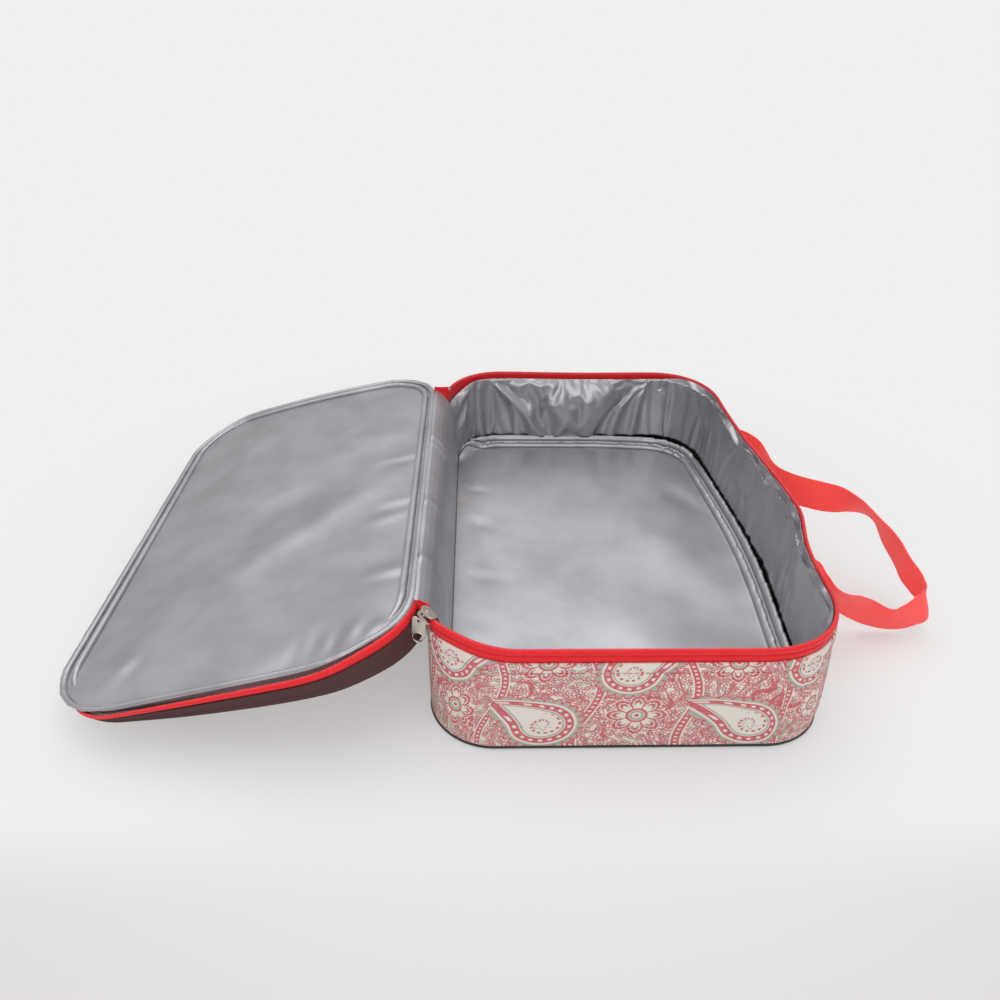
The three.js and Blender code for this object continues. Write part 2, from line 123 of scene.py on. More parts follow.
class BagColours(bpy.types.PropertyGroup):
    """Colours of the finishes."""
    ground: colour_of("Print ground", (226, 219, 208), "Off-white cloth under the print")
    print_red: colour_of("Print red", (196, 66, 84), "Red of the print")
    print_sage: colour_of("Print sage", (158, 160, 148), "Grey-green of the print")
    lining: colour_of("Lining", (176, 175, 179), "Silver lining")
    tape: colour_of("Zip tape", (238, 24, 36), "Zip tape")
    # Coil colour: the nylon's red, set lighter than the tape as a painted highlight along the top of the zip
    coil: colour_of("Zip coil", (240, 74, 80), "Nylon of the zip's coil")
    webbing: colour_of("Webbing", (255, 80, 76), "Handle webbing")
    trim: colour_of("Black trim", (34, 32, 32), "Underside and bindings")
    # Lip colour: the cloth's own dark maroon with painted shade, set as dark as the lip looks in shadow
    lip: colour_of("Lip", (76, 42, 43), "Dark cloth of the lid's lip")
    foam: colour_of("Foam", (238, 238, 234), "Padding")
    board: colour_of("Board", (190, 184, 172), "Stiffener board")
    nickel: colour_of("Nickel", (206, 198, 188), "Slider, pull and stops")
    floor: colour_of("Floor", (222, 222, 222), "Studio floor")
    backdrop: colour_of("Backdrop", (239, 239, 239), "Far floor and air behind the bag")
    foreground: colour_of("Foreground", (226, 224, 223), "Floor in front of the bag")


def sizes():
    """The sizes that the sidebar shows."""
    return bpy.context.scene.bag_sizes


def colours():
    """The colours that the sidebar shows."""
    return bpy.context.scene.bag_colours


# Shader arithmetic

class Shade:
    """A shader socket that takes part in Python arithmetic and adds the nodes for it."""

    def __init__(self, tree, socket):
        self.tree = tree
        self.socket = socket

    def make(self, kind, settings=None, inputs=None, output=0):
        """Adds any node: its type, its settings, its sockets' values or links, and the output to use."""
        node = self.tree.nodes.new(kind)
        for key, value in (settings or {}).items():
            setattr(node, key, value)
        for key, value in (inputs or {}).items():
            if isinstance(value, Shade):
                self.tree.links.new(value.socket, node.inputs[key])
            else:
                node.inputs[key].default_value = value
        return Shade(self.tree, node.outputs[output])

    def math(self, operation, *others):
        """A Math node on this value and others."""
        return self.make("ShaderNodeMath", {"operation": operation}, dict(enumerate((self,) + others)))

    def turned(self, operation, other):
        """A Math node with this value second."""
        return self.make("ShaderNodeMath", {"operation": operation}, {0: other, 1: self})

    def __add__(self, other):
        return self.math("ADD", other)

    def __radd__(self, other):
        return self.math("ADD", other)

    def __sub__(self, other):
        return self.math("SUBTRACT", other)

    def __rsub__(self, other):
        return self.turned("SUBTRACT", other)

    def __mul__(self, other):
        return self.math("MULTIPLY", other)

    def __rmul__(self, other):
        return self.math("MULTIPLY", other)

    def __truediv__(self, other):
        return self.math("DIVIDE", other)

    def __rtruediv__(self, other):
        return self.turned("DIVIDE", other)

    def __abs__(self):
        return self.math("ABSOLUTE")

    def step(self, low, high):
        """0 below low, 1 above high, smooth between; turned round where low is above high."""
        return self.make("ShaderNodeMapRange", {"interpolation_type": "SMOOTHSTEP"},
                         {"Value": self, "From Min": low, "From Max": high})

    def line(self, half, soft):
        """1 where the value is within half of nought."""
        return abs(self).step(half + soft, half - soft)

    def floor(self):
        return self.math("FLOOR")

    def sin(self):
        return self.math("SINE")

    def cos(self):
        return self.math("COSINE")

    def least(self, other):
        return self.math("MINIMUM", other)

    def most(self, other):
        return self.math("MAXIMUM", other)

    def blend(self, first, second):
        """Colour first where this is 0 and second where it is 1."""
        first, second = ((*c, 1) if isinstance(c, (tuple, list)) else c for c in (first, second))
        return self.make("ShaderNodeMix", {"data_type": "RGBA"}, {0: self, 6: first, 7: second}, 2)

    def noise(self, scale, detail=2.0, roughness=0.5):
        return self.make("ShaderNodeTexNoise", None,
                         {"Vector": self, "Scale": scale, "Detail": detail, "Roughness": roughness})

    def split(self):
        """The three parts of a vector."""
        node = self.tree.nodes.new("ShaderNodeSeparateXYZ")
        self.tree.links.new(self.socket, node.inputs[0])
        return [Shade(self.tree, part) for part in node.outputs]

    def bump(self, distance, strength=1.0):
        return self.make("ShaderNodeBump", None, {"Height": self, "Distance": distance, "Strength": strength})


def new_finish(name):
    """A new material: its shader node, its Object coordinates and its UV map."""
    material = bpy.data.materials.new(name)
    material.use_nodes = True
    tree = material.node_tree
    shader = tree.nodes["Principled BSDF"]
    start = Shade(tree, None)
    place = start.make("ShaderNodeTexCoord", output=3)
    cloth = start.make("ShaderNodeTexCoord", output=2)
    return material, shader, place, cloth


def feed(shader, **sockets):
    """Sets or links the shader's sockets; names use _ for a space."""
    tree = shader.id_data
    for key, value in sockets.items():
        socket = shader.inputs[key.replace("_", " ")]
        if isinstance(value, Shade):
            tree.links.new(value.socket, socket)
        elif isinstance(value, (tuple, list)) and len(value) == 3:
            socket.default_value = (*value, 1)
        else:
            socket.default_value = value


def weave(along, across, pitch):
    """Height of a plain weave whose threads are one pitch apart."""
    turn = math.pi / pitch
    over = (along * turn).sin() * (across * turn).sin()
    ribs = abs((along * turn).cos()) + abs((across * turn).cos())
    return over * 0.5 + ribs * 0.35


def teardrop(x, y):
    """Distance in millimetres to a curled teardrop, below nought inside it."""
    high = y + 10
    bulb = (x * x + high * high).math("SQRT") - 17
    share = (high / 41).least(1.0).most(0.0)
    bent = x + high * high * 0.0115
    tail = (abs(bent) - (1 - share) * (share * 0.45 + 1) * 16.6).most(high - 41).most(high * -1)
    return bulb.math("SMOOTH_MIN", tail, 3.0)


def around(x, y):
    """Distance from the middle and bearing about it."""
    return (x * x + y * y).math("SQRT"), y.math("ARCTAN2", x)


def sprinkle(cloth, spacing, shift):
    """Scattered cells: place within a cell in millimetres, and a random turn for each cell."""
    moved = cloth.make("ShaderNodeVectorMath", {"operation": "ADD"}, {0: cloth, 1: (shift, shift * 0.7, 0)})
    cells = {"Vector": moved, "Scale": 1 / (spacing * MM), "Randomness": 0.8}
    spot = moved.make("ShaderNodeTexVoronoi", {"voronoi_dimensions": "2D"}, cells, 2)
    tint = moved.make("ShaderNodeTexVoronoi", {"voronoi_dimensions": "2D"}, cells, 1)
    chance = tint.split()[0] * (2 * math.pi)
    apart = moved.make("ShaderNodeVectorMath", {"operation": "SUBTRACT"}, {0: moved, 1: spot})
    dx, dy, _ = apart.make("ShaderNodeVectorMath", {"operation": "SCALE"}, {0: apart, 3: 1 / MM}).split()
    return dx * chance.cos() + dy * chance.sin(), dy * chance.cos() - dx * chance.sin()


def drop_motif(x, y):
    """Red, sage and covered masks of the large teardrop: beaded border, dotted spiral and frilled edge."""
    drop = teardrop(x, y)
    reach, turn = around(x, y + 10)
    beads = (turn * 17.0).cos().step(0.0, 0.4) * (drop + 2.6).line(0.95, 0.25)
    border = (drop + 2.6).line(2.3, 0.25) * (1 - beads)
    winding = reach / 6.4 - turn / (2 * math.pi)
    winding = winding - (winding.floor() + 0.5)
    spiral = winding.line(0.12, 0.05) * reach.step(10.4, 9.8) * reach.step(1.9, 2.5)
    spiral = spiral * (turn * 13.0).cos().step(-0.3, 0.1)
    buds = (reach - 4.0 - (turn * 6.0).cos() * 1.2).line(0.5, 0.3) * x.step(3.0, 1.5)
    frill = drop - 3.2 - abs((turn * 12.0).sin()) * 2.4
    lobes = (turn * 24.0).cos().step(0.3, 0.7) * (drop - 2.9).line(0.8, 0.3)
    red = border.most(spiral).most(frill.line(0.75, 0.25) * drop.step(0.3, 0.6)).most(lobes)
    hollow = frill.step(-0.7, -1.1) * drop.step(0.9, 1.4) * (1 - lobes)
    sage = (drop + 6.0).line(0.5, 0.2).most(buds * 0.8).most(hollow)
    return red, sage, frill.step(0.9, 0.5)


def flower_motif(x, y):
    """Red, sage and covered masks of the eight-petalled flower."""
    reach, turn = around(x, y)
    rim = 11.6 + abs((turn * 4.0).cos()) * 5.2 + (turn * 48.0).sin() * 0.35
    edge = reach - rim
    petals = (turn * 8.0).cos()
    core = (edge + 6.0 - petals * 1.6).line(1.1, 0.3) * petals.step(-0.2, 0.3)
    ring = (reach - 5.4).line(0.8, 0.25)
    red = (edge + 1.3).line(1.25, 0.2).most(ring).most(core).most(reach.step(1.6, 1.2))
    red = red.most(petals.step(-0.86, -0.95) * reach.step(5.0, 5.6) * edge.step(-2.0, -2.6))
    sage = ((reach - 3.4).line(0.9, 0.3)).most((edge + 3.9).line(0.5, 0.2))
    return red, sage, edge.step(0.9, 0.5)


def filler_motif(cloth, vine):
    """Red and sage masks of the florets, leaves and stems between the motifs, and of the beaded vine."""
    fx, fy = sprinkle(cloth, 6.2, 0.0)
    reach, turn = around(fx, fy)
    floret = (reach - 1.75 - (turn * 5.0).cos() * 0.85).step(0.2, -0.2) * reach.step(0.55, 0.8)
    ring = (reach - 3.1).line(0.28, 0.15)
    lx, ly = sprinkle(cloth, 5.0, 0.31)
    leaf = abs(ly) - (1 - lx * lx / 7.6) * 1.25
    blade = leaf.step(0.15, -0.15) * abs(ly).step(0.12, 0.3)
    outline = leaf.line(0.22, 0.12)
    wave = cloth.make("ShaderNodeTexNoise", {"noise_dimensions": "2D"},
                      {"Vector": cloth, "Scale": 38.0, "Detail": 0.6, "Distortion": 0.7}) * 8.0
    stem = (wave - (wave.floor() + 0.5)).line(0.12, 0.05)
    share = cloth.noise(17.0, 1.0).step(0.42, 0.56)
    red = floret.most(ring * share).most(outline * 0.9).most(stem * share)
    sage = (blade * (1 - floret)).most(stem * (1 - share)).most(ring * (1 - share))
    up = cloth.split()[1]
    beads = (up * (2 * math.pi / (3.4 * MM))).sin().step(0.1, 0.5) * vine.line(0.9, 0.25)
    strip = vine.line(2.3, 0.2)
    red = (red * (1 - vine.line(3.2, 0.2))).most(strip * (1 - beads))
    return red, sage * (1 - vine.line(3.2, 0.2))


def paisley(cloth, size):
    """Masks of red and sage for a generic paisley: columns of drops and flowers among florets and vines."""
    along, up, _ = cloth.split()
    wide, tall = size.motif_width / MM, size.motif_height / MM
    x, y = along * (1 / MM), up * (1 / MM) + 18.0
    edge = x - (x / wide + 0.5).floor() * wide
    vine = edge + ((y * (2 * math.pi / tall)).sin()) * 5.5
    column = (x / wide).floor()
    odd = column.math("PINGPONG", 1.0)
    fx = (x - (column + 0.5) * wide) * (1 - odd * 2)
    y = y + odd * (tall / 2)
    fy = y - ((y / tall).floor() + 0.5) * tall
    gy = y + tall / 2
    gy = gy - ((gy / tall).floor() + 0.5) * tall
    tilt = math.radians(38)
    drop_red, drop_sage, drop_cover = drop_motif(fx * math.cos(tilt) + fy * math.sin(tilt),
                                                 fy * math.cos(tilt) - fx * math.sin(tilt))
    flower_red, flower_sage, flower_cover = flower_motif(fx, gy)
    free_red, free_sage = filler_motif(cloth, vine)
    flower_free = 1 - drop_cover
    free = flower_free * (1 - flower_cover)
    red = drop_red.most(flower_red * flower_free).most(free_red * free)
    sage = drop_sage.most(flower_sage * flower_free).most(free_sage * free)
    return red, sage


def printed_cloth():
    """Off-white woven cloth with a red and grey-green paisley print."""
    material, shader, place, cloth = new_finish("printed_cloth")
    tone = colours()
    red, sage = paisley(cloth, sizes())
    along, up, _ = cloth.split()
    threads = weave(along, up, 0.55 * MM)
    faded = cloth.noise(700.0, 3.0).step(0.25, 0.75)
    colour = (sage * (0.7 + faded * 0.3)).blend(tuple(tone.ground), tuple(tone.print_sage))
    colour = (red * (0.76 + faded * 0.24)).blend(colour, tuple(tone.print_red))
    worn = place.noise(22.0, 2.0).step(0.3, 0.7) * 0.08
    colour = worn.blend(colour, (0.42, 0.38, 0.36))
    feed(shader, Base_Color=colour, Roughness=0.82, Specular_IOR_Level=0.25, Sheen_Weight=0.15,
         Normal=(threads + red * 0.3).bump(0.14 * MM, 0.6))
    return material


def silver_lining(name="silver_lining", seam=False):
    """Silver sheet lining: satin, a little metallic and cloudy; with seam set, a painted shadow darkens the
    foot of the walls above the floor.
    """
    material, shader, place, _ = new_finish(name)
    grain = place.noise(1500.0, 2.0)
    cloud = place.noise(30.0, 3.0)
    scuff = place.noise(160.0, 4.0, 0.6)
    tone = tuple(colours().lining)
    deep = scaled(tone, 0.84)
    colour = cloud.step(0.3, 0.7).blend(deep, tone)
    if seam:
        # Painted shadow: below about 20 mm the lining fades to near black, for the shade in the seam over the
        # floor
        shadow_top, shadow_full = 20.5 * MM, 18.5 * MM
        painted_seam_shadow = (0.012, 0.012, 0.013)
        colour = place.split()[2].step(shadow_top, shadow_full).blend(colour, painted_seam_shadow)
    feed(shader, Base_Color=colour, Metallic=0.62, Roughness=scuff * 0.08 + 0.28,
         Normal=(grain * 0.25 + scuff).bump(0.05 * MM, 0.35))
    return material


def wall_lining():
    """The silver lining with a painted shadow along the foot of the walls, over the seam to the floor."""
    return silver_lining("wall_lining", seam=True)


def zip_red():
    """Red zip tape: herringbone weave, with the sheen of polyester."""
    material, shader, place, cloth = new_finish("zip_red")
    along, up, _ = cloth.split()
    rib = ((along + abs(up) * 0.8) * (2 * math.pi / (0.9 * MM))).sin()
    cross = (up * (2 * math.pi / (0.7 * MM))).sin()
    shade = (rib * 0.5 + 0.5) * 0.22 + place.noise(60.0, 2.0) * 0.2
    tone = tuple(colours().tape)
    colour = shade.blend(tone, scaled(tone, 0.62))
    feed(shader, Base_Color=colour, Roughness=0.5, Specular_IOR_Level=0.3, Sheen_Weight=0.12,
         Normal=(rib * 0.6 + cross * 0.4).bump(0.12 * MM, 0.6))
    return material


def zip_nylon():
    """Red nylon of the zip coil: smoother and shinier than the tape, its red lightened as a painted highlight
    on the zip's top edge.
    """
    material, shader, place, _ = new_finish("zip_nylon")
    tone = tuple(colours().coil)
    colour = place.noise(240.0, 2.0).step(0.3, 0.7).blend(scaled(tone, 0.8), tone)
    feed(shader, Base_Color=colour, Roughness=place.noise(300.0, 2.0) * 0.12 + 0.26, Specular_IOR_Level=0.5)
    return material


def red_webbing():
    """Coral red webbing: lengthwise ribs crossed by a fine weft, with darker selvedges and a weak glow."""
    material, shader, place, cloth = new_finish("red_webbing")
    along, across, _ = cloth.split()
    rib = (across * (2 * math.pi / (1.9 * MM))).sin()
    weft = (along * (2 * math.pi / (1.25 * MM)) + rib * 1.2).sin()
    edge = abs(across).step(11.0 * MM, 12.4 * MM)
    height = abs(rib) * 0.6 + weft * 0.4 - edge * 0.5
    shade = (0.5 - weft * 0.5) * 0.1 + (1 - abs(rib)) * 0.1 + edge * 0.14 + place.noise(40.0, 2.0) * 0.06
    tone = tuple(colours().webbing)
    colour = shade.blend(tone, scaled(tone, 0.5))
    # Painted light: the webbing glows weakly in its own colour, though it is no lamp
    glow = 0.14
    feed(shader, Base_Color=colour, Roughness=0.6, Specular_IOR_Level=0.35, Sheen_Weight=0.2,
         Emission_Color=tone, Emission_Strength=glow, Normal=height.bump(0.25 * MM, 0.7))
    return material


def black_trim():
    """Black woven underside and binding."""
    material, shader, place, cloth = new_finish("black_trim")
    along, up, _ = cloth.split()
    threads = weave(along, up, 0.7 * MM)
    tone = tuple(colours().trim)
    colour = (threads * 0.35 + place.noise(90.0, 3.0) * 0.4).blend(tone, scaled(tone, 2.6))
    feed(shader, Base_Color=colour, Roughness=0.72, Sheen_Weight=0.2, Normal=threads.bump(0.18 * MM, 0.7))
    return material


def dark_lip():
    """Dark maroon cloth of the lid's lip: its own dark colour, made darker still with painted shade."""
    material, shader, place, cloth = new_finish("dark_lip")
    along, up, _ = cloth.split()
    threads = weave(along, up, 0.7 * MM)
    tone = tuple(colours().lip)
    worn = threads * 0.3 + place.noise(40.0, 3.0) * 0.35
    colour = worn.blend(scaled(tone, 0.7), scaled(tone, 1.35))
    feed(shader, Base_Color=colour, Roughness=0.75, Normal=threads.bump(0.15 * MM, 0.6))
    return material


def white_foam():
    """Closed-cell foam: matte, with small cells."""
    material, shader, place, _ = new_finish("white_foam")
    cells = place.make("ShaderNodeTexVoronoi", None, {"Vector": place, "Scale": 900.0})
    tone = tuple(colours().foam)
    colour = cells.step(0.0, 0.6).blend(scaled(tone, 0.82), tone)
    feed(shader, Base_Color=colour, Roughness=0.9, Normal=cells.bump(0.2 * MM, 0.5))
    return material


def grey_board():
    """Pressed stiffener board with fibres."""
    material, shader, place, _ = new_finish("grey_board")
    drawn_out = place.make("ShaderNodeMapping", None, {"Vector": place, "Scale": (1.0, 6.0, 1.0)})
    fibre = drawn_out.noise(260.0, 4.0)
    tone = tuple(colours().board)
    colour = fibre.step(0.3, 0.7).blend(scaled(tone, 0.75), tone)
    feed(shader, Base_Color=colour, Roughness=fibre * 0.15 + 0.65, Normal=fibre.bump(0.15 * MM, 0.4))
    return material


def nickel():
    """Die-cast metal plated with nickel, rubbed a little."""
    material, shader, place, _ = new_finish("nickel_plate")
    rub = place.noise(900.0, 4.0, 0.6)
    tone = tuple(colours().nickel)
    colour = rub.step(0.3, 0.7).blend(scaled(tone, 0.9), tone)
    feed(shader, Base_Color=colour, Metallic=1.0, Roughness=rub * 0.12 + 0.24,
         Normal=rub.bump(0.01 * MM, 0.2))
    return material


def red_thread():
    """Red sewing thread with a twist."""
    material, shader, place, _ = new_finish("red_thread")
    twist = place.noise(2600.0, 1.0)
    tone = scaled(colours().webbing, 0.8)
    feed(shader, Base_Color=twist.step(0.3, 0.7).blend(scaled(tone, 0.6), tone), Roughness=0.55,
         Normal=twist.bump(0.1 * MM, 0.5))
    return material


FINISHES = {maker.__name__: maker for maker in (
    printed_cloth, silver_lining, wall_lining, zip_red, zip_nylon, red_webbing, black_trim, dark_lip,
    white_foam, grey_board, nickel, red_thread)}


def finish_of(name):
    """The finish of that name, made the first time it is asked for."""
    kept = bpy.context.scene.get("bag_finishes", {})
    if name not in kept:
        bpy.context.scene["bag_finishes"] = {**dict(kept), name: FINISHES[name]().name}
        kept = bpy.context.scene["bag_finishes"]
    return bpy.data.materials[kept[name]]


# Plan of the bag and the way its soft walls and lid hang

def ease(value):
    """0 to 1 with soft ends, clipped."""
    value = np.clip(value, 0.0, 1.0)
    return value * value * (3 - 2 * value)


def hump(value, middle, reach):
    """1 at the middle, falling off smoothly over a reach."""
    return np.exp(-((value - middle) / reach) ** 2)


class Outline:
    """A rounded rectangle walked anticlockwise from the middle of the hinge side."""

    def __init__(self, inset=0.0, radius=None):
        size = sizes()
        self.a = size.rim_width / 2 - inset
        self.b = size.rim_length / 2 - inset
        self.r = (radius or size.corner_radius) - inset
        arc = math.pi * self.r / 2
        side, end = 2 * (self.b - self.r), 2 * (self.a - self.r)
        self.runs = np.cumsum([0, side / 2, arc, end, arc, side, arc, end, arc, side / 2])
        self.total = self.runs[-1]

    def corner(self, degrees):
        """The way to a bearing round the front hinge corner; the rear one is as far from the end."""
        return self.runs[1] + math.radians(degrees) * self.r

    def at(self, walked):
        """Points and outward normals of the outline: x, y, nx, ny."""
        s = np.mod(np.asarray(walked, float), self.total)
        x, y, nx, ny = (np.zeros_like(s) for _ in range(4))
        cx, cy = self.a - self.r, self.b - self.r
        straights = [(0, -1, 0, 0, 0, -1), (2, 0, -1, -cx, 1, 0), (4, 1, 0, -cy, 0, 1), (6, 0, 1, cx, -1, 0),
                     (8, -1, 0, cy, 0, -1)]
        for run, ox, oy, start, dx, dy in straights:
            on = (s >= self.runs[run]) & (s <= self.runs[run + 1])
            gone = s[on] - self.runs[run]
            x[on] = ox * self.a + dx * gone + (start if dx else 0)
            y[on] = oy * self.b + dy * gone + (start if dy else 0)
            nx[on], ny[on] = ox, oy
        corners = [(1, -cx, -cy, 180), (3, cx, -cy, 270), (5, cx, cy, 0), (7, -cx, cy, 90)]
        for run, centre_x, centre_y, bearing in corners:
            on = (s > self.runs[run]) & (s < self.runs[run + 1])
            angle = math.radians(bearing) + (s[on] - self.runs[run]) / self.r
            nx[on], ny[on] = np.cos(angle), np.sin(angle)
            x[on] = centre_x + self.r * nx[on]
            y[on] = centre_y + self.r * ny[on]
        return x, y, nx, ny

    def station(self, walked):
        """One place of the outline as plain numbers."""
        return tuple(float(part) for part in self.at(walked))

    def stations(self, walked):
        """Places of the outline as columns, for rings of points."""
        return tuple(part[:, None] for part in self.at(walked))


def walk(start, end, step):
    """Distances from start to end, about one step apart."""
    return np.linspace(start, end, max(2, int(round((end - start) / step)) + 1))


def side_pull(y):
    """How much the handle pulls the rim out at a place along the side, from 0 to 1."""
    peak = -42 * MM
    reach = np.where(y > peak, 92 * MM, 42 * MM)
    return hump(y, peak, reach)


def foot_bulge(y):
    """How far the foot of the handle side bows out at a place along it."""
    return sizes().foot_bow * hump(y, -8 * MM, 140 * MM)


def tray_bow(y, nx, z):
    """How far the handle side stands out of its plan at a height."""
    size = sizes()
    side = ease(nx)
    rim = size.rim_splay + size.side_bow * side_pull(y)
    foot = foot_bulge(y) * (0.7 + 0.3 * ease(z / (16 * MM)))
    high = ease(z / size.rim_height)
    return side * (foot * (1 - high) + rim * high)


def tray_point(station, out, z):
    """A point of the tray's walls: out is counted from the outer face of the rim."""
    size = sizes()
    x, y, nx, ny = station
    out, z = np.asarray(out, float), np.asarray(z, float)
    bow = tray_bow(y, nx, z)
    high = np.clip(z / size.rim_height, 0, 1.1)
    sag = -2.0 * MM * ease(ny) * hump(x, 5 * MM, 55 * MM) * high
    bearing = np.degrees(np.arctan2(-ny, np.maximum(-nx, 0)))
    sag = sag + size.zip_corner * hump(bearing, 24, 17) * ease(-ny * 5) * high
    reach = out + bow + sag - size.wall_taper * np.maximum(0, size.rim_height - z) / size.rim_height
    drop = -bow * bow / (2 * size.rim_height) * high * 0.6
    drop = drop + 1.8 * MM * ease(ny) * high ** 3
    outer = np.clip(1 + out / (9 * MM), 0, 1)
    tight = (size.corner_radius - size.foot_radius) * (1 - ease(z / size.rim_height)) * outer
    end_x, end_y = size.rim_width / 2 - size.corner_radius, size.rim_length / 2 - size.corner_radius
    wide = x + nx * reach + tight * (np.clip(x / end_x, -1, 1) - nx)
    long = y + ny * reach + tight * (np.clip(y / end_y, -1, 1) - ny)
    return np.stack([wide, long, z + drop], -1)


def floor_point(x, y, z):
    """A point of the lined floor, which follows the bow of the handle side and is lifted there."""
    size = sizes()
    half = size.rim_width / 2 - 9 * MM
    side = ease((x - 20 * MM) / (half - 20 * MM))
    lift_start = 105 * MM
    mid_length = ease((size.rim_length / 2 - np.abs(y)) / (90 * MM))
    lift = 7 * MM * ease((x - lift_start) / (half - lift_start)) * mid_length
    across = np.maximum(np.abs(x) - size.rim_width / 2 + size.corner_radius, 0)
    along = np.maximum(y - size.rim_length / 2 + size.corner_radius, 0)
    reach = np.hypot(across, along)
    rear = ease(along / (reach + 1e-9) * 1.6)
    lift = lift + 6 * MM * ease((reach - size.corner_radius + 20 * MM) / (6.5 * MM)) * rear
    lift = lift - 2.4 * MM * ease((x - 15 * MM) / (75 * MM)) * ease((y + 170 * MM) / (80 * MM))
    return np.stack([x + foot_bulge(y) * side, y, z + lift], -1)


def lid_point(x, y, depth):
    """A point of the open lid from its closed plan place and its depth below the zip, as the lid lies."""
    u = x - hinge_x
    back = ease((y + 60 * MM) / (260 * MM))
    front = ease((-y - 100 * MM) / (80 * MM))
    far = ease((u - 110 * MM) / (150 * MM))
    u = u - far * (7 + 4 * (1 - back)) * MM
    slack = 1.22 - 0.22 * ease(u / (130 * MM)) - 0.2 * ease((u - 150 * MM) / (110 * MM))
    y = y * (1 - 0.06 * ease((u - 90 * MM) / (160 * MM)) * ease(depth / sizes().lid_depth))
    h = -np.where(depth > 0, depth * slack, depth)
    arch = 6 * MM * np.sin(math.pi * np.clip(u / (250 * MM), 0, 1)) * back
    arch = arch - 4 * MM * ease((u - 190 * MM) / (60 * MM)) * back
    arch = arch + 4 * MM * hump(u, 36 * MM, 26 * MM) * front
    lying = ease((u - 120 * MM) / (110 * MM)) * ease(depth / sizes().lid_depth)
    cos, sin = math.cos(lid_slope), math.sin(lid_slope)
    z = rim_z - u * sin + h * cos + arch * (1 - lying)
    return np.stack([hinge_x - u * cos - h * sin, y + 0 * u, np.maximum(z, 0.4 * MM)], -1)


def lid_station(station, out, depth):
    """A point of the lid's edge: out is counted from the outer face, depth from the zip."""
    x, y, nx, ny = station
    folded = np.clip(ease(nx) + ease(ny), 0, 1)
    depth = np.asarray(depth, float)
    high = 1 - ease(depth / sizes().lid_depth)
    u = x - hinge_x
    gape = ease(-ny) * ease((u - 20 * MM) / (60 * MM)) * ease((262 * MM - u) / (70 * MM)) * high
    out = np.asarray(out, float) - 5.5 * MM * folded * high + 1.2 * MM * gape
    return lid_point(x + nx * out, y + ny * out, depth + 3.0 * MM * folded * high + 2.4 * MM * gape)


def lid_rim_station(station, out, depth):
    """A point of the lid's lining edge, which laps over the lip on the far and rear sides."""
    x, y, nx, ny = station
    lap = 2.6 * MM * np.clip(ease(nx) + ease(ny), 0, 1) + 3.0 * MM * ease(-nx * 2 - 1)
    out = np.asarray(out, float) + lap
    return lid_point(x + nx * out, y + ny * out, np.asarray(depth, float))


# Mesh making

def new_piece(name, points, faces, uv=None):
    """A smooth mesh object at the origin; uv holds one pair for each corner of each face."""
    mesh = bpy.data.meshes.new(name)
    mesh.from_pydata(np.asarray(points).reshape(-1, 3).tolist(), [], faces)
    if uv is not None:
        layer = mesh.uv_layers.new(name="cloth")
        layer.data.foreach_set("uv", np.asarray(uv, np.float32).ravel())
    piece = bpy.data.objects.new(name, mesh)
    bpy.context.scene.collection.objects.link(piece)
    return piece


def tidy(piece, angle=50):
    """Outward normals, smooth shading and sharp edges past an angle."""
    edit = bmesh.new()
    edit.from_mesh(piece.data)
    bmesh.ops.remove_doubles(edit, verts=edit.verts, dist=1e-7)
    bmesh.ops.recalc_face_normals(edit, faces=edit.faces)
    edit.to_mesh(piece.data)
    edit.free()
    piece.data.shade_smooth()
    piece.data.set_sharp_from_angle(angle=math.radians(angle))
    return piece


def grid_faces(rows, columns, closed_rows=False, closed_columns=False):
    """Quads of a grid, with the wrapped and unwrapped row and column of each corner."""
    faces, marks = [], []
    for i in range(rows if closed_rows else rows - 1):
        for j in range(columns if closed_columns else columns - 1):
            corners = [(i, j), (i + 1, j), (i + 1, j + 1), (i, j + 1)]
            faces.append([(a % rows) * columns + b % columns for a, b in corners])
            marks.extend(corners)
    return faces, np.array(marks)


def loft(name, rings, closed, path_uv, section_uv):
    """A closed skin over rings of section points carried along a path."""
    rings = np.asarray(rings)
    n, m = rings.shape[:2]
    faces, marks = grid_faces(n, m, closed, True)
    uv = [np.stack([np.asarray(path_uv)[marks[:, 0]], np.asarray(section_uv)[marks[:, 1]]], -1)]
    if not closed:
        for ring, order in ((0, range(m)), (n - 1, range(m - 1, -1, -1))):
            faces.append([ring * m + j for j in order])
            uv.append(np.array([[path_uv[ring], section_uv[j]] for j in order]))
    return new_piece(name, rings, faces, np.concatenate(uv))


def band(name, point, section, start, end, step, closed=False):
    """A section of (out, height) pairs carried round the outline through a placing function."""
    walked = walk(start, end, step)
    station = Outline().stations(walked[:-1] if closed else walked)
    section = np.asarray(section, float)
    rings = point(station, section[None, :, 0], section[None, :, 1])
    around = np.concatenate([[0], np.cumsum(np.hypot(*(np.roll(section, -1, 0) - section).T))])
    return tidy(loft(name, rings, closed, walked, around))


def hoop(name, point, section, step):
    """A section carried all the way round the bag."""
    return band(name, point, section, 0, Outline().total, step, closed=True)


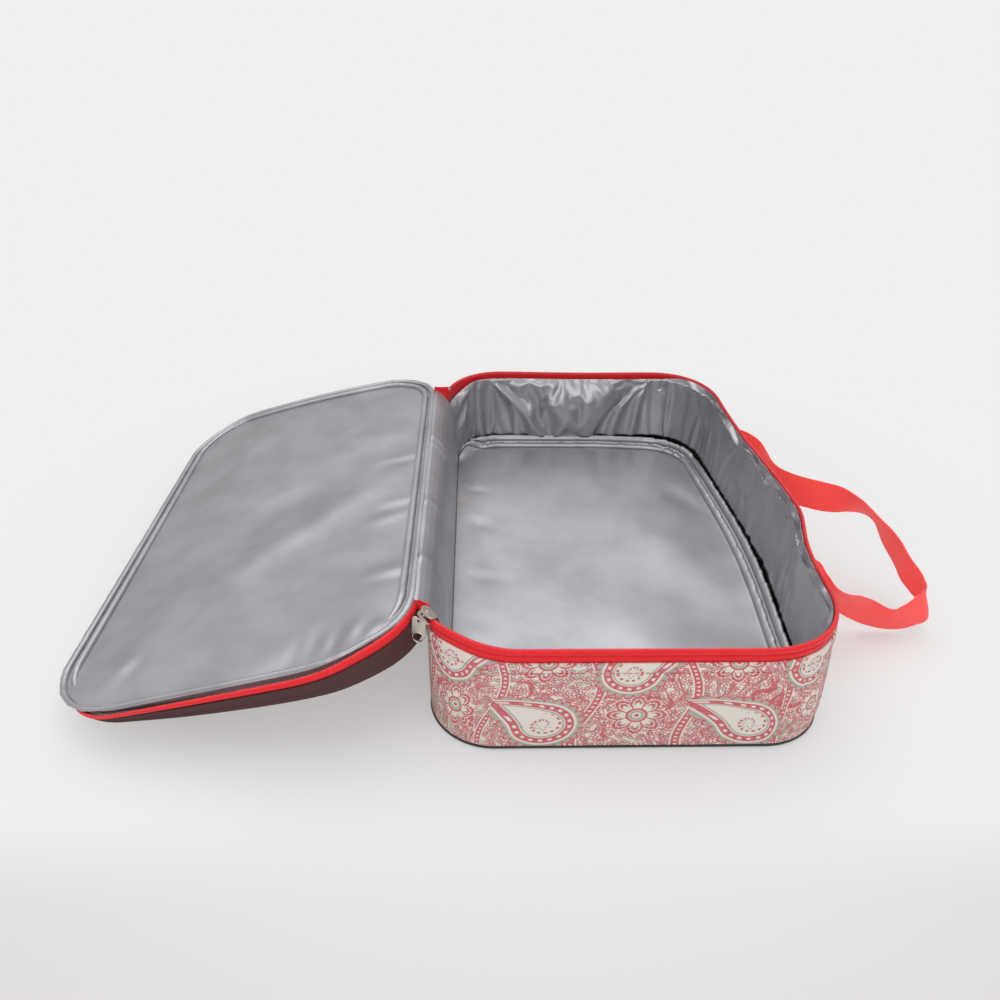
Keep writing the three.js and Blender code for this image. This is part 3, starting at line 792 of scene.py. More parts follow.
def squared(rows, columns, outline):
    """A grid that fills a rounded rectangle: x and y of its points."""
    a, b = np.meshgrid(np.linspace(-1, 1, rows), np.linspace(-1, 1, columns), indexing="ij")
    x, y = a * outline.a, b * outline.b
    square = np.maximum(np.abs(a), np.abs(b)) + 1e-9
    ex, ey = np.abs(x) / square, np.abs(y) / square
    cx, cy = outline.a - outline.r, outline.b - outline.r
    in_corner = (ex > cx) & (ey > cy)
    dot = ex * cx + ey * cy
    length = ex * ex + ey * ey
    inner = np.maximum(dot * dot - length * (cx * cx + cy * cy - outline.r ** 2), 0)
    scale = np.where(in_corner, (dot + np.sqrt(inner)) / (length + 1e-12), 1.0)
    pull = 1 + (np.minimum(scale, 1) - 1) * square ** 3
    return x * pull, y * pull


def panel(name, points):
    """A sheet over a grid of points that faces up, with a UV map of its flat place."""
    rows, columns = points.shape[:2]
    if points[-1, 0, 0] < points[0, 0, 0]:
        points = points[::-1]
    faces, marks = grid_faces(rows, columns)
    flat = points.reshape(-1, 3)
    uv = flat[marks[:, 0] * columns + marks[:, 1], :2]
    return new_piece(name, points, faces, uv)


def apply_modifier(piece, kind, **settings):
    """Adds a modifier and applies it."""
    bpy.ops.object.select_all(action="DESELECT")
    bpy.context.view_layer.objects.active = piece
    piece.select_set(True)
    modifier = piece.modifiers.new(kind.lower(), kind)
    for key, value in settings.items():
        setattr(modifier, key, value)
    bpy.ops.object.modifier_apply(modifier=modifier.name)
    piece.select_set(False)
    return piece


def thicken(piece, thick, offset=-1.0):
    """Gives a sheet its thickness; offset -1 puts it behind the face."""
    return tidy(apply_modifier(piece, "SOLIDIFY", thickness=thick, offset=offset, use_even_offset=False))


def soften(piece):
    """Subdivides a piece once."""
    return apply_modifier(piece, "SUBSURF", levels=1, render_levels=1)


def dress(piece, body, slot, finish, *nodes):
    """Puts the finish on a piece, lets it ride on its body and hides the nodes it stands for."""
    piece.data.materials.clear()
    piece.data.materials.append(finish_of(finish))
    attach(piece, body)
    if nodes:
        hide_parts(*nodes)
    return piece


def strip(low, high, inner, outer, rows):
    """Section of a flat strip: up the outer face and down the inner one."""
    heights = np.linspace(low, high, rows)
    return [(outer, z) for z in heights] + [(inner, z) for z in heights[::-1]]


def millimetres(pairs):
    """Pairs in millimetres as metres."""
    return [(a * MM, b * MM) for a, b in pairs]


def block(name, size, place):
    """A box with its sizes and its middle in millimetres."""
    bpy.ops.object.select_all(action="DESELECT")
    bpy.ops.mesh.primitive_cube_add(size=1, location=Vector(place) * MM, scale=Vector(size) * MM)
    bpy.ops.object.transform_apply(location=True, rotation=True, scale=True)
    bpy.context.object.name = name
    return bpy.context.object


def tube_faces(first, rings, sides):
    """Faces of a small closed tube whose points start at an index and go ring by ring."""
    faces = []
    for ring in range(rings - 1):
        for k in range(sides):
            a, b = first + ring * sides + k, first + ring * sides + (k + 1) % sides
            faces.append([a, b, b + sides, a + sides])
    last = first + (rings - 1) * sides
    faces.append([first + k for k in reversed(range(sides))])
    faces.append([last + k for k in range(sides)])
    return faces


class BagOperator(bpy.types.Operator):
    """Shared options of the bag's operators."""
    bl_idname = "bag.base"
    bl_label = "Bag step"
    bl_options = {"REGISTER", "UNDO"}


class MakeUnderside(BagOperator):
    """Black underside, its binding and the stiffener board"""
    bl_idname = "bag.make_underside"
    bl_label = "Underside"

    def execute(self, context):
        inset = 3.2 * MM
        x, y = squared(33, 49, Outline(inset, sizes().foot_radius))
        low = np.stack([x + tray_bow(y, np.clip(x / (120 * MM), 0, 1), 0 * x), y, 0 * x + 0.1 * MM], -1)
        sheet = thicken(panel("underside", low), 1.0 * MM, 1.0)
        dress(sheet, "base", "black_fabric", "black_trim", "bottom_panel")
        section = millimetres([(-2.4, 0.2), (-0.4, 0.2), (0.5, 0.8), (0.8, 1.4), (0.6, 2.1), (-0.2, 2.7),
                               (-1.4, 2.8), (-1.4, 1.5), (-2.4, 1.4)])
        binding = hoop("underside_binding", tray_point, section, 4 * MM)
        dress(binding, "base", "black_fabric", "black_trim", "bottom_binding")
        board = frame["nodes"]["base_board"]
        board.data.materials.clear()
        board.data.materials.append(finish_of("grey_board"))
        return {"FINISHED"}


class MakePadding(BagOperator):
    """Foam in the walls, the floor and the lid"""
    bl_idname = "bag.make_padding"
    bl_label = "Padding"

    def execute(self, context):
        rows = np.linspace(6, 74, 12)
        section = [(-2.4, z) for z in rows] + [(-2.7, 75.2), (-3.6, 75.2)]
        section += [(-3.8 - 1.2 * float(ease((74 - z) / 40)), z) for z in rows[::-1]]
        wall = hoop("wall_padding", self.lowered, millimetres(section), 5 * MM)
        dress(wall, "base", "white_foam", "white_foam", "wall_foam")
        x, y = squared(25, 37, Outline(15 * MM))
        floor = thicken(panel("floor_padding", floor_point(x, y, 0 * x + 6.6 * MM)), 3.4 * MM)
        dress(floor, "base", "white_foam", "white_foam", "floor_foam")
        section = millimetres(strip(6.5, 15.5, -5.2, -2.8, 5))
        lip = hoop("lid_lip_padding", lid_station, section, 5 * MM)
        dress(lip, "lid", "white_foam", "white_foam", "lid_lip_foam")
        x, y = squared(25, 37, Outline(11 * MM))
        pad = thicken(panel("lid_padding", lid_point(x, y, 0 * x + 3.6 * MM)), 9 * MM)
        dress(pad, "lid", "white_foam", "white_foam", "lid_foam")
        return {"FINISHED"}

    @staticmethod
    def lowered(station, out, z):
        """The wall's foam, which ends lower along the hinge."""
        drop = 9 * MM * ease(-station[2] * 2 - 1) * ease((z - 50 * MM) / (27 * MM))
        return tray_point(station, out, z - drop)


def stitches(name, point, out, height, start, end, pitch, length, thick):
    """A row of thread stitches round the outline."""
    outline = Outline()
    middles = np.arange(start + pitch / 2, end, pitch)
    points, faces = [], []
    shape = [(-1.0, 0.15), (-0.7, 0.8), (0.0, 1.0), (0.7, 0.8), (1.0, 0.15)]
    sides = 4
    for middle in middles:
        first = len(points)
        for share, swell in shape:
            station = outline.station(middle + share * length / 2)
            for k in range(sides):
                angle = math.pi / 4 + k * math.pi / 2
                across, up = math.cos(angle) * thick * swell, math.sin(angle) * thick * swell
                points.append(point(station, out + across, height + up))
        faces.extend(tube_faces(first, len(shape), sides))
    return tidy(new_piece(name, points, faces), 70)


class MakeTrayWall(BagOperator):
    """Printed outer wall of the tray with its hem and topstitching"""
    bl_idname = "bag.make_tray_wall"
    bl_label = "Printed wall"

    def execute(self, context):
        outline = Outline()
        outer = [(0.0, z) for z in np.linspace(2.7, 64.6, 19)]
        hem = [(0.0, 65.2), (-0.25, 65.6), (0.1, 66.1), (0.42, 67.2), (0.5, 69.5), (0.5, 72.0), (0.4, 73.2),
               (-0.2, 73.6)]
        inner = [(-1.1, z) for z in np.linspace(73.4, 2.7, 18)]
        section = millimetres(outer + hem + inner)
        wall = hoop("printed_wall", self.puckered, section, 3.6 * MM)
        dress(wall, "base", "printed_fabric", "printed_cloth", "wall_fabric")
        out, height = 0.12 * MM, 65.7 * MM
        pitch, length, thick = 3.4 * MM, 2.3 * MM, 0.26 * MM
        thread = stitches("hem_stitching", tray_point, out, height, 0, outline.total, pitch, length, thick)
        dress(thread, "base", "printed_fabric", "red_thread")
        return {"FINISHED"}

    @staticmethod
    def puckered(station, out, z):
        """The wall with shallow dents, deeper at the corners and below the zip."""
        x, y, nx, ny = station
        bend = np.abs(nx * ny) * 2
        along = np.arctan2(ny, nx) * 0.057 + x * ny - y * nx
        dent = np.sin(along * 210 + 1.3) * 0.25 + np.sin(along * 97 + z * 30) * 0.35
        dent = dent + bend * np.sin(along * 330) * 0.3
        hold = ease(z / (20 * MM)) * ease((74 * MM - z) / (14 * MM)) * 0.8 + 0.1
        return tray_point(station, out + dent * hold * MM, z)


def welt(name, point, out, height, noise, pucker, front=0.0):
    """One ridge of a welded seam, puckered along its length; front is how far it sinks along the front."""
    size = sizes()
    outline = Outline()
    walked = walk(0, outline.total, 2.2 * MM)
    s = walked[:-1]
    _, _, nx, ny = outline.at(s)
    phase = np.random.RandomState(noise).uniform(0, 6.3, 6)
    bend = np.clip(np.abs(nx * ny) * 2, 0, 1)
    ripple = pucker * sum(np.sin(s * k + p) for k, p in zip((190, 410, 730, 1100, 1490, 310), phase)) / 6
    sunk = ease(-ny) * front
    swell = (1 + ripple * (0.2 + 0.6 * bend)) * (1 - 0.5 * np.minimum(sunk / (2 * MM), 1))
    count = 10
    angles = np.linspace(0, 2 * math.pi, count, endpoint=False)
    outs = out + swell[:, None] * size.welt_width / 2 * np.cos(angles) + ripple[:, None] * 0.6 * MM
    heights = height + sunk[:, None] + swell[:, None] * size.welt_height / 2 * np.sin(angles)
    rings = point(outline.stations(s), outs, heights)
    girth = 0.012
    return tidy(loft(name, rings, True, walked, np.linspace(0, girth, count + 1)), 80)


def simulate(piece, backing, held, growth, bend, frames):
    """Lets a sheet that is larger than its frame settle into folds against a backing, then removes that."""
    scene = bpy.context.scene
    group = piece.vertex_groups.new(name="held")
    for members in held:
        group.add([int(i) for i in members], 1.0, "REPLACE")
    scale = 10.0
    piece.data.transform(Matrix.Scale(scale, 4))
    backing.data.transform(Matrix.Scale(scale, 4))
    backing.modifiers.new("backing", "COLLISION")
    backing.collision.thickness_outer = 0.01
    backing.collision.cloth_friction = 4.0
    cloth = piece.modifiers.new("cloth", "CLOTH")
    cloth.settings.quality = 8
    cloth.settings.mass = 0.25
    cloth.settings.tension_stiffness = 18
    cloth.settings.compression_stiffness = 18
    cloth.settings.shear_stiffness = 8
    cloth.settings.bending_stiffness = bend
    cloth.settings.tension_damping = 6
    cloth.settings.compression_damping = 6
    cloth.settings.air_damping = 4
    cloth.settings.vertex_group_mass = "held"
    cloth.settings.shrink_min = -growth
    cloth.settings.effector_weights.gravity = 0.0
    cloth.collision_settings.use_collision = True
    cloth.collision_settings.distance_min = 0.01
    cloth.collision_settings.collision_quality = 4
    cloth.point_cache.frame_start = 1
    cloth.point_cache.frame_end = frames
    for number in range(1, frames + 1):
        scene.frame_set(number)
    bpy.ops.object.select_all(action="DESELECT")
    bpy.context.view_layer.objects.active = piece
    piece.select_set(True)
    bpy.ops.object.modifier_apply(modifier=cloth.name)
    scene.frame_set(1)
    piece.vertex_groups.clear()
    piece.data.transform(Matrix.Scale(1 / scale, 4))
    bpy.data.objects.remove(backing)
    return piece


def folds(x, y, marks):
    """Height of soft folds; a mark has the middle, the turn, the width, the length and the height."""
    height = 0 * x
    for mx, my, turn, wide, long, tall in marks:
        across = (x / MM - mx) * math.cos(turn) + (y / MM - my) * math.sin(turn)
        along = (y / MM - my) * math.cos(turn) - (x / MM - mx) * math.sin(turn)
        height = height + tall * MM * np.exp(-(across / wide) ** 2 - (along / long) ** 2)
    return height


# Folds of a lining: x and y in millimetres, turn in radians, width, length and height in millimetres
FLOOR_FOLDS = [
    (-60, 90, 0.6, 30, 80, 1.2), (50, 30, -0.5, 40, 80, 1.2), (-20, -70, 0.9, 35, 80, 1.2),
    (10, 140, 0.1, 30, 80, 1.0), (-106, 104, 1.2, 7, 12, 0.2), (-104, 97, 1.2, 5, 14, -0.5),
    (-100, 50, 1.0, 9, 16, 0.2), (-98, 42, 1.0, 7, 20, -0.5), (-96, -28, 1.3, 8, 15, 0.2),
    (-94, -37, 1.3, 8, 18, -0.5), (-100, -100, 1.3, 8, 14, 0.3), (-90, 0, 0.2, 12, 50, -1.0),
    (92, -40, 0.12, 18, 60, -1.0), (70, -70, 0.2, 20, 40, -1.2), (98, 40, 0.1, 16, 50, -0.8),
    (60, 0, 0.3, 22, 60, 1.4), (84, 90, 0.5, 12, 30, -1.0), (40, -120, 0.7, 25, 50, 1.2)]


class MakeTrayLining(BagOperator):
    """Silver lining of the tray: the floor with its double welt, and the gathered walls"""
    bl_idname = "bag.make_tray_lining"
    bl_label = "Tray lining"

    floor_height = 10.4 * MM

    def execute(self, context):
        outline = Outline(13.4 * MM)
        x, y = squared(77, 117, outline)
        edge = np.minimum(outline.a - np.abs(x), outline.b - np.abs(y))
        height = self.floor_height + folds(x, y, FLOOR_FOLDS) * ease((edge - 6 * MM) / (14 * MM))
        floor = panel("floor_lining", floor_point(x, y, height))
        floor = thicken(soften(floor), sizes().lining_thick)
        dress(floor, "base", "silver_lining", "silver_lining", "floor_liner")
        outer = -13.6 * MM
        for name, node, out, seed in (
                ("floor_welt_ridge_outer", "floor_welt_outer", outer, 3),
                ("floor_welt_ridge_inner", "floor_welt_inner", outer - sizes().welt_pitch, 4)):
            ridge = welt(name, self.floor_edge, out, self.floor_height + 1.3 * MM, seed, 0.8)
            dress(ridge, "base", "silver_lining", "silver_lining", node)
        self.wall()
        return {"FINISHED"}

    @staticmethod
    def floor_edge(station, out, height):
        """A point of the floor's welts, which lie further out along the hinge."""
        x, y, nx, ny = station
        out = out + 10 * MM * ease(-nx * 2 - 0.8)
        return floor_point(x + nx * out, y + ny * out, height)

    def profile(self, station, share):
        """The wall lining from its sewn edge on the tape, over the foam and down to the floor."""
        _, y, nx, ny = station
        foot = 7 * MM + 5 * MM * ease(nx) * ease((sizes().rim_length / 2 - np.abs(y)) / (90 * MM))
        hinge = ease(-nx * 2 - 1)
        top = 77.6 * MM + 4.2 * MM * ease(nx * 2 - 0.4) - hinge * 7 * MM
        heights = top + (foot - top) * share
        knots = np.array([5.0, 20, 45, 65, 73, 76, 78.5]) * MM
        knot_outs = np.array([-8.8, -9.0, -8.8, -7.6, -6.0, -5.0, -4.1]) * MM
        outs = np.interp(heights, knots, knot_outs)
        bend = ease(np.abs(nx * ny) * 3) * ease(ny)
        around = np.arctan2(ny, nx) * 45 * MM
        gather = np.sin(around * 620) + 0.6 * np.sin(around * 1010 + 1)
        outs = outs + 1.3 * MM * bend * gather * ease(share * 6) * (1 - 0.7 * share)
        outs = outs - self.pleats(station, share) * (1 - hinge)
        outs = outs + 2.6 * MM * ease(ny * 2 - 1) * ease((27 * MM - heights) / (7 * MM))
        hinge_knots = np.array([8.0, 26, 40, 56, 64, 71]) * MM
        hinge_outs = np.array([-13.2, -11.8, -10.6, -9.0, -7.2, -4.5]) * MM
        sloped = np.interp(heights, hinge_knots, hinge_outs)
        return tray_point(station, outs * (1 - hinge) + sloped * hinge, heights)

    @staticmethod
    def pleats(station, share):
        """How far small pleats below the tape and long soft folds stand in from the wall."""
        x, y, nx, ny = station
        run = y * nx - x * ny + 45 * MM * np.arctan2(ny, nx)
        turns = run / (19 * MM) + 0.5 * np.sin(run * 47) + 0.3 * np.sin(run * 113 + 2)
        peak = 1 - np.abs(np.mod(turns, 1) * 2 - 1)
        size = 0.55 + 0.45 * np.sin(run * 83 + 1)
        small = 3.4 * MM * peak * size * hump(share, 0.13, 0.1)
        long = 1.3 * MM * (np.sin(run * 118 + share * 2 + 1) + 0.6 * np.sin(run * 205 - share * 3))
        beside = ease(nx * 2) * ease((120 * MM - np.abs(y + 30 * MM)) / (90 * MM))
        corner = ease(nx * 2) * ease(ny * 2)
        return (small + long * ease(share * 4) * (1 - share)) * np.maximum(beside, corner)

    def wall(self):
        """The gathered lining of the walls, settled as cloth against the foam."""
        outline = Outline()
        walked = walk(0, outline.total, 3.4 * MM)
        station = outline.stations(walked[:-1])
        share = np.concatenate([[0, 0.025, 0.055, 0.09, 0.13], np.linspace(0.17, 1, 20)])[None, :]
        points = self.profile(station, share)
        rows, columns = points.shape[:2]
        faces, marks = grid_faces(rows, columns, closed_rows=True)
        cloth_height = 0.08
        uv = np.stack([walked[marks[:, 0]], share[0, marks[:, 1]] * cloth_height], -1)
        sheet = new_piece("wall_lining", points, faces, uv)
        index = np.arange(rows * columns).reshape(rows, columns)
        section = millimetres([(-1.0, 4), (-1.0, 76), (-1.8, 76), (-2.8, 74), (-3.6, 71), (-4.8, 65),
                               (-6.2, 45), (-6.4, 20), (-6.4, 4)])
        backing = hoop("lining_backing", tray_point, section, 6 * MM)
        calm = index[np.abs(station[2][:, 0] + 1) < 0.02].ravel()
        held = [index[:, 0], index[:, -1], calm]
        simulate(sheet, backing, held, growth=0.09, bend=0.25, frames=34)
        self.hold_in(sheet, points, station, share)
        sheet = thicken(soften(sheet), sizes().lining_thick)
        dress(sheet, "base", "silver_lining", "wall_lining", "wall_liner")

    @staticmethod
    def hold_in(sheet, points, station, share):
        """Keeps the settled cloth from lying further out than the foam behind it."""
        nx, ny = station[2], station[3]
        settled = np.zeros(points.size)
        sheet.data.vertices.foreach_get("co", settled)
        settled = settled.reshape(points.shape)
        moved = settled - points
        outward = moved[..., 0] * nx + moved[..., 1] * ny
        allowed = (0.1 + 0.9 * ease(share * 4)) * MM
        past = np.maximum(outward - allowed, 0)
        settled[..., 0] -= past * nx
        settled[..., 1] -= past * ny
        sheet.data.vertices.foreach_set("co", settled.ravel())
        sheet.data.update()


class MakeLidShell(BagOperator):
    """Printed panel and lip of the lid with its black binding"""
    bl_idname = "bag.make_lid_shell"
    bl_label = "Lid shell"

    def execute(self, context):
        outline = Outline()
        depth = sizes().lid_depth
        x, y = squared(41, 61, Outline(1.5 * MM))
        edge = np.minimum(outline.a - np.abs(x), outline.b - np.abs(y))
        belly = 4 * MM * ease((x - hinge_x - 130 * MM) / (90 * MM)) * ease(edge / (25 * MM))
        sheet = thicken(panel("lid_panel", lid_point(x, y, depth + belly)), 1.0 * MM, 1.0)
        dress(sheet, "lid", "printed_fabric", "printed_cloth", "lid_panel_fabric")
        section = millimetres([(-1.6, 14.4), (-0.2, 14.5), (0.6, 15.3), (0.9, 16.4), (0.5, 17.6),
                               (-0.6, 18.3), (-2.6, 18.3), (-2.6, 17.4), (-1.6, 16.6)])
        binding = hoop("lid_edge_binding", lid_station, section, 4 * MM)
        dress(binding, "lid", "black_fabric", "dark_lip", "lid_binding")
        outer = [(0.1, d) for d in np.linspace(14.8, 6.4, 9)] + [(-0.2, 5.7)]
        section = millimetres(outer + [(-1.2, d) for d in np.linspace(5.7, 14.8, 9)])
        lip = hoop("lid_lip", lid_station, section, 4 * MM)
        dress(lip, "lid", "black_fabric", "dark_lip", "lid_lip_fabric")
        return {"FINISHED"}


LID_FOLDS = [
    (103, -45, 0.88, 16, 80, 2.3), (124, -3, 0.88, 20, 70, -1.5), (147, -111, 0.8, 18, 50, 0.7),
    (221, -73, 0.5, 22, 50, -0.8), (186, 99, 0.244, 2.6, 55, 0.3), (80, 70, 1.0, 24, 60, 0.8),
    (150, 110, 0.6, 28, 60, -0.6), (26, 41, 1.5, 6, 18, 0.6), (26, 33, 1.5, 6, 18, -0.5),
    (24, -27, 1.45, 7, 16, 0.8), (24, -35, 1.45, 6, 16, -0.4), (32, -48, 1.3, 6, 18, 0.7),
    (22, -116, 1.5, 7, 18, 0.9), (22, -124, 1.5, 5, 14, -0.6), (29, -178, 0.6, 5, 8, 1.2),
    (43, -174, 0.4, 5, 9, 1.0), (55, -184, 0.2, 4, 12, -1.0), (68, -178, 0.15, 5, 14, -0.8),
    (80, -182, 0.1, 5, 12, -0.6), (211, -163, 0.6, 4, 14, 0.7), (200, -168, 0.5, 4, 14, -0.6),
    (97, -184, 0.9, 12, 20, 0.7)]


class MakeLidLining(BagOperator):
    """Silver lining of the lid with its lip and double welt"""
    bl_idname = "bag.make_lid_lining"
    bl_label = "Lid lining"

    def execute(self, context):
        shift = Outline(8.6 * MM)
        x, y = squared(69, 107, shift)
        edge = np.minimum(shift.a - np.abs(x), shift.b - np.abs(y))
        lap = 2.6 * MM * np.clip(ease(x / shift.a * 3 - 2) + ease(y / shift.b * 3 - 2), 0, 1)
        x = x + np.sign(x) * lap * ease(np.abs(x) / shift.a * 3 - 2) - 3.0 * MM * ease(-x / shift.a * 3 - 2)
        y = y - 4.6 * MM * ease(-y / shift.b * 6 - 5) * ease((shift.a - np.abs(x)) / (60 * MM))
        puff = 2.0 * MM * ease(edge / (60 * MM))
        puff = puff + folds(x - hinge_x, y, LID_FOLDS) * ease(edge / (10 * MM))
        sheet = panel("lid_lining", lid_point(x, y, 1.2 * MM - puff))
        sheet = thicken(soften(sheet), sizes().lining_thick)
        dress(sheet, "lid", "silver_lining", "silver_lining", "lid_liner")
        outer = -7.2 * MM
        for name, node, out, seed, sunk in (
                ("lid_welt_ridge_outer", "lid_welt_outer", outer, 7, 1.0 * MM),
                ("lid_welt_ridge_inner", "lid_welt_inner", outer - sizes().welt_pitch, 8, 3.2 * MM)):
            ridge = welt(name, lid_rim_station, out, 0.4 * MM, seed, 0.3, sunk)
            dress(ridge, "lid", "silver_lining", "silver_lining", node)
        section = millimetres([(-6.6, 1.4), (-6.6, 5.0), (-6.4, 9.4), (-5.0, 10.4), (-3.6, 10.0), (-3.0, 8.4),
                               (-2.6, 9.0), (-3.4, 11.0), (-6.4, 11.2), (-7.4, 5.2), (-7.4, 1.6)])
        lip = hoop("lid_lip_lining", self.between, section, 4 * MM)
        dress(lip, "lid", "silver_lining", "silver_lining", "lid_lip_liner")
        return {"FINISHED"}

    @staticmethod
    def between(station, out, depth):
        """The lip's lining runs from the tape up to the welt."""
        share = ease((np.asarray(depth) - 0.9 * MM) / (7 * MM))[..., None]
        return lid_rim_station(station, out, depth) * (1 - share) + lid_station(station, out, depth) * share


def zip_section():
    """Tape with its edge folded over the coil: out and height below the middle of the zip."""
    return millimetres([(-2.3, -14), (-1.5, -14), (-1.5, -11), (-1.25, -10), (-0.95, -8.6), (-0.95, -7.2),
                        (-1.3, -6.1), (-2.2, -5.6), (-1.2, -5.0), (-0.45, -4.0), (-0.35, -2.7), (-0.75, -1.4),
                        (-1.4, -0.85), (-2.3, -0.85), (-2.9, -1.6), (-3.0, -3.7), (-2.6, -4.9), (-2.4, -6)])


def coil_row(name, point, start, end):
    """The turns of the zip coil along the tape's edge, each a small slanted loop."""
    outline = Outline()
    pitch = sizes().coil_pitch
    path = millimetres([(-1.4, -2.4), (-1.5, -1.1), (-2.2, -0.5), (-2.95, -1.1), (-3.1, -2.4)])
    points, faces = [], []
    sides = 5
    for middle in np.arange(start + pitch, end - pitch / 2, pitch):
        first = len(points)
        for k, (out, height) in enumerate(path):
            lean = (k - 2) * 0.14 * pitch
            for j in range(sides):
                angle = 2 * math.pi * j / sides
                station = outline.station(middle + lean + 0.5 * MM * math.cos(angle))
                swell = 0.38 * MM * math.sin(angle)
                tilt = math.pi * k / 4
                points.append(point(station, out + swell * math.cos(tilt), height + swell * math.sin(tilt)))
        faces.extend(tube_faces(first, len(path), sides))
    return tidy(new_piece(name, points, faces), 80)


def tray_zip_point(station, out, height):
    """A point of the tray's half of the zip; height is counted from its middle."""
    return tray_point(station, out, rim_z + height)


def lid_zip_point(station, out, height):
    """A point of the lid's half of the zip; height is counted from its middle."""
    return lid_station(station, out, -np.asarray(height))


class MakeZip(BagOperator):
    """Zip tapes and coils of the tray and the lid, and their metal stops"""
    bl_idname = "bag.make_zip"
    bl_label = "Zip"

    def execute(self, context):
        outline = Outline()
        start, end = outline.corner(12), outline.total - outline.corner(16)
        lid_start = outline.corner(5)
        for name, node, coil, coil_node, body, point, first in (
                ("tray_tape", "zip_tape_tray", "tray_coil", "zip_coil_tray", "base", tray_zip_point, start),
                ("lid_tape", "zip_tape_lid", "lid_coil", "zip_coil_lid", "lid", lid_zip_point, lid_start)):
            tape = band(name, point, zip_section(), first, end, 3 * MM)
            dress(tape, body, "red_zip", "zip_red", node)
            end - first
            row = coil_row(coil, point, first + 3 * MM, end - 3 * MM)
            dress(row, body, "red_zip", "zip_nylon", coil_node)
        for name, node, body, point, walked in (
                ("front_stop", "zip_bottom_stop", "base", tray_zip_point, start + 6 * MM),
                ("rear_stop_tray", "zip_top_stop_tray", "base", tray_zip_point, end - 2 * MM),
                ("rear_stop_lid", "zip_top_stop_lid", "lid", lid_zip_point, end - 2 * MM)):
            self.stop(name, node, body, point, walked)
        return {"FINISHED"}

    @staticmethod
    def stop(name, node, body, point, walked):
        """A metal stop crimped over the tape's edge."""
        station = Outline().station(walked)
        spots = [(-1.7, -2.0), (-0.7, -2.0), (-1.7, -1.0)]
        middle, out, high = (Vector(point(station, a * MM, b * MM)) for a, b in spots)
        outward = (out - middle).normalized()
        along = (high - middle).cross(outward).normalized()
        place = Matrix((outward, along, outward.cross(along))).transposed().to_4x4()
        place.translation = middle
        piece = block(name, (3.4, 2.2, 3.0), (0, 0, 0))
        apply_modifier(piece, "BEVEL", width=0.6 * MM, segments=3)
        piece.data.transform(place)
        dress(tidy(piece, 40), body, "nickel", "nickel", node)


def ribbon(name, line, half, rows, wave, thick):
    """A strip of cloth whose line of (x, z) points runs across it, drawn along the hinge."""
    line = np.asarray(line, float) * MM
    fine = np.linspace(0, len(line) - 1, (len(line) - 1) * 4 + 1)
    x = np.interp(fine, np.arange(len(line)), line[:, 0])
    z = np.interp(fine, np.arange(len(line)), line[:, 1])
    y = np.linspace(-half, half, rows)
    grid = np.zeros((rows, len(x), 3))
    grid[..., 0], grid[..., 1], grid[..., 2] = x[None, :], y[:, None], z[None, :]
    grid = wave(grid)
    faces, marks = grid_faces(*grid.shape[:2])
    cloth_step = 0.003
    uv = np.stack([y[marks[:, 0]], fine[marks[:, 1]] * cloth_step], -1)
    return thicken(soften(new_piece(name, grid, faces, uv)), thick, 0.0)


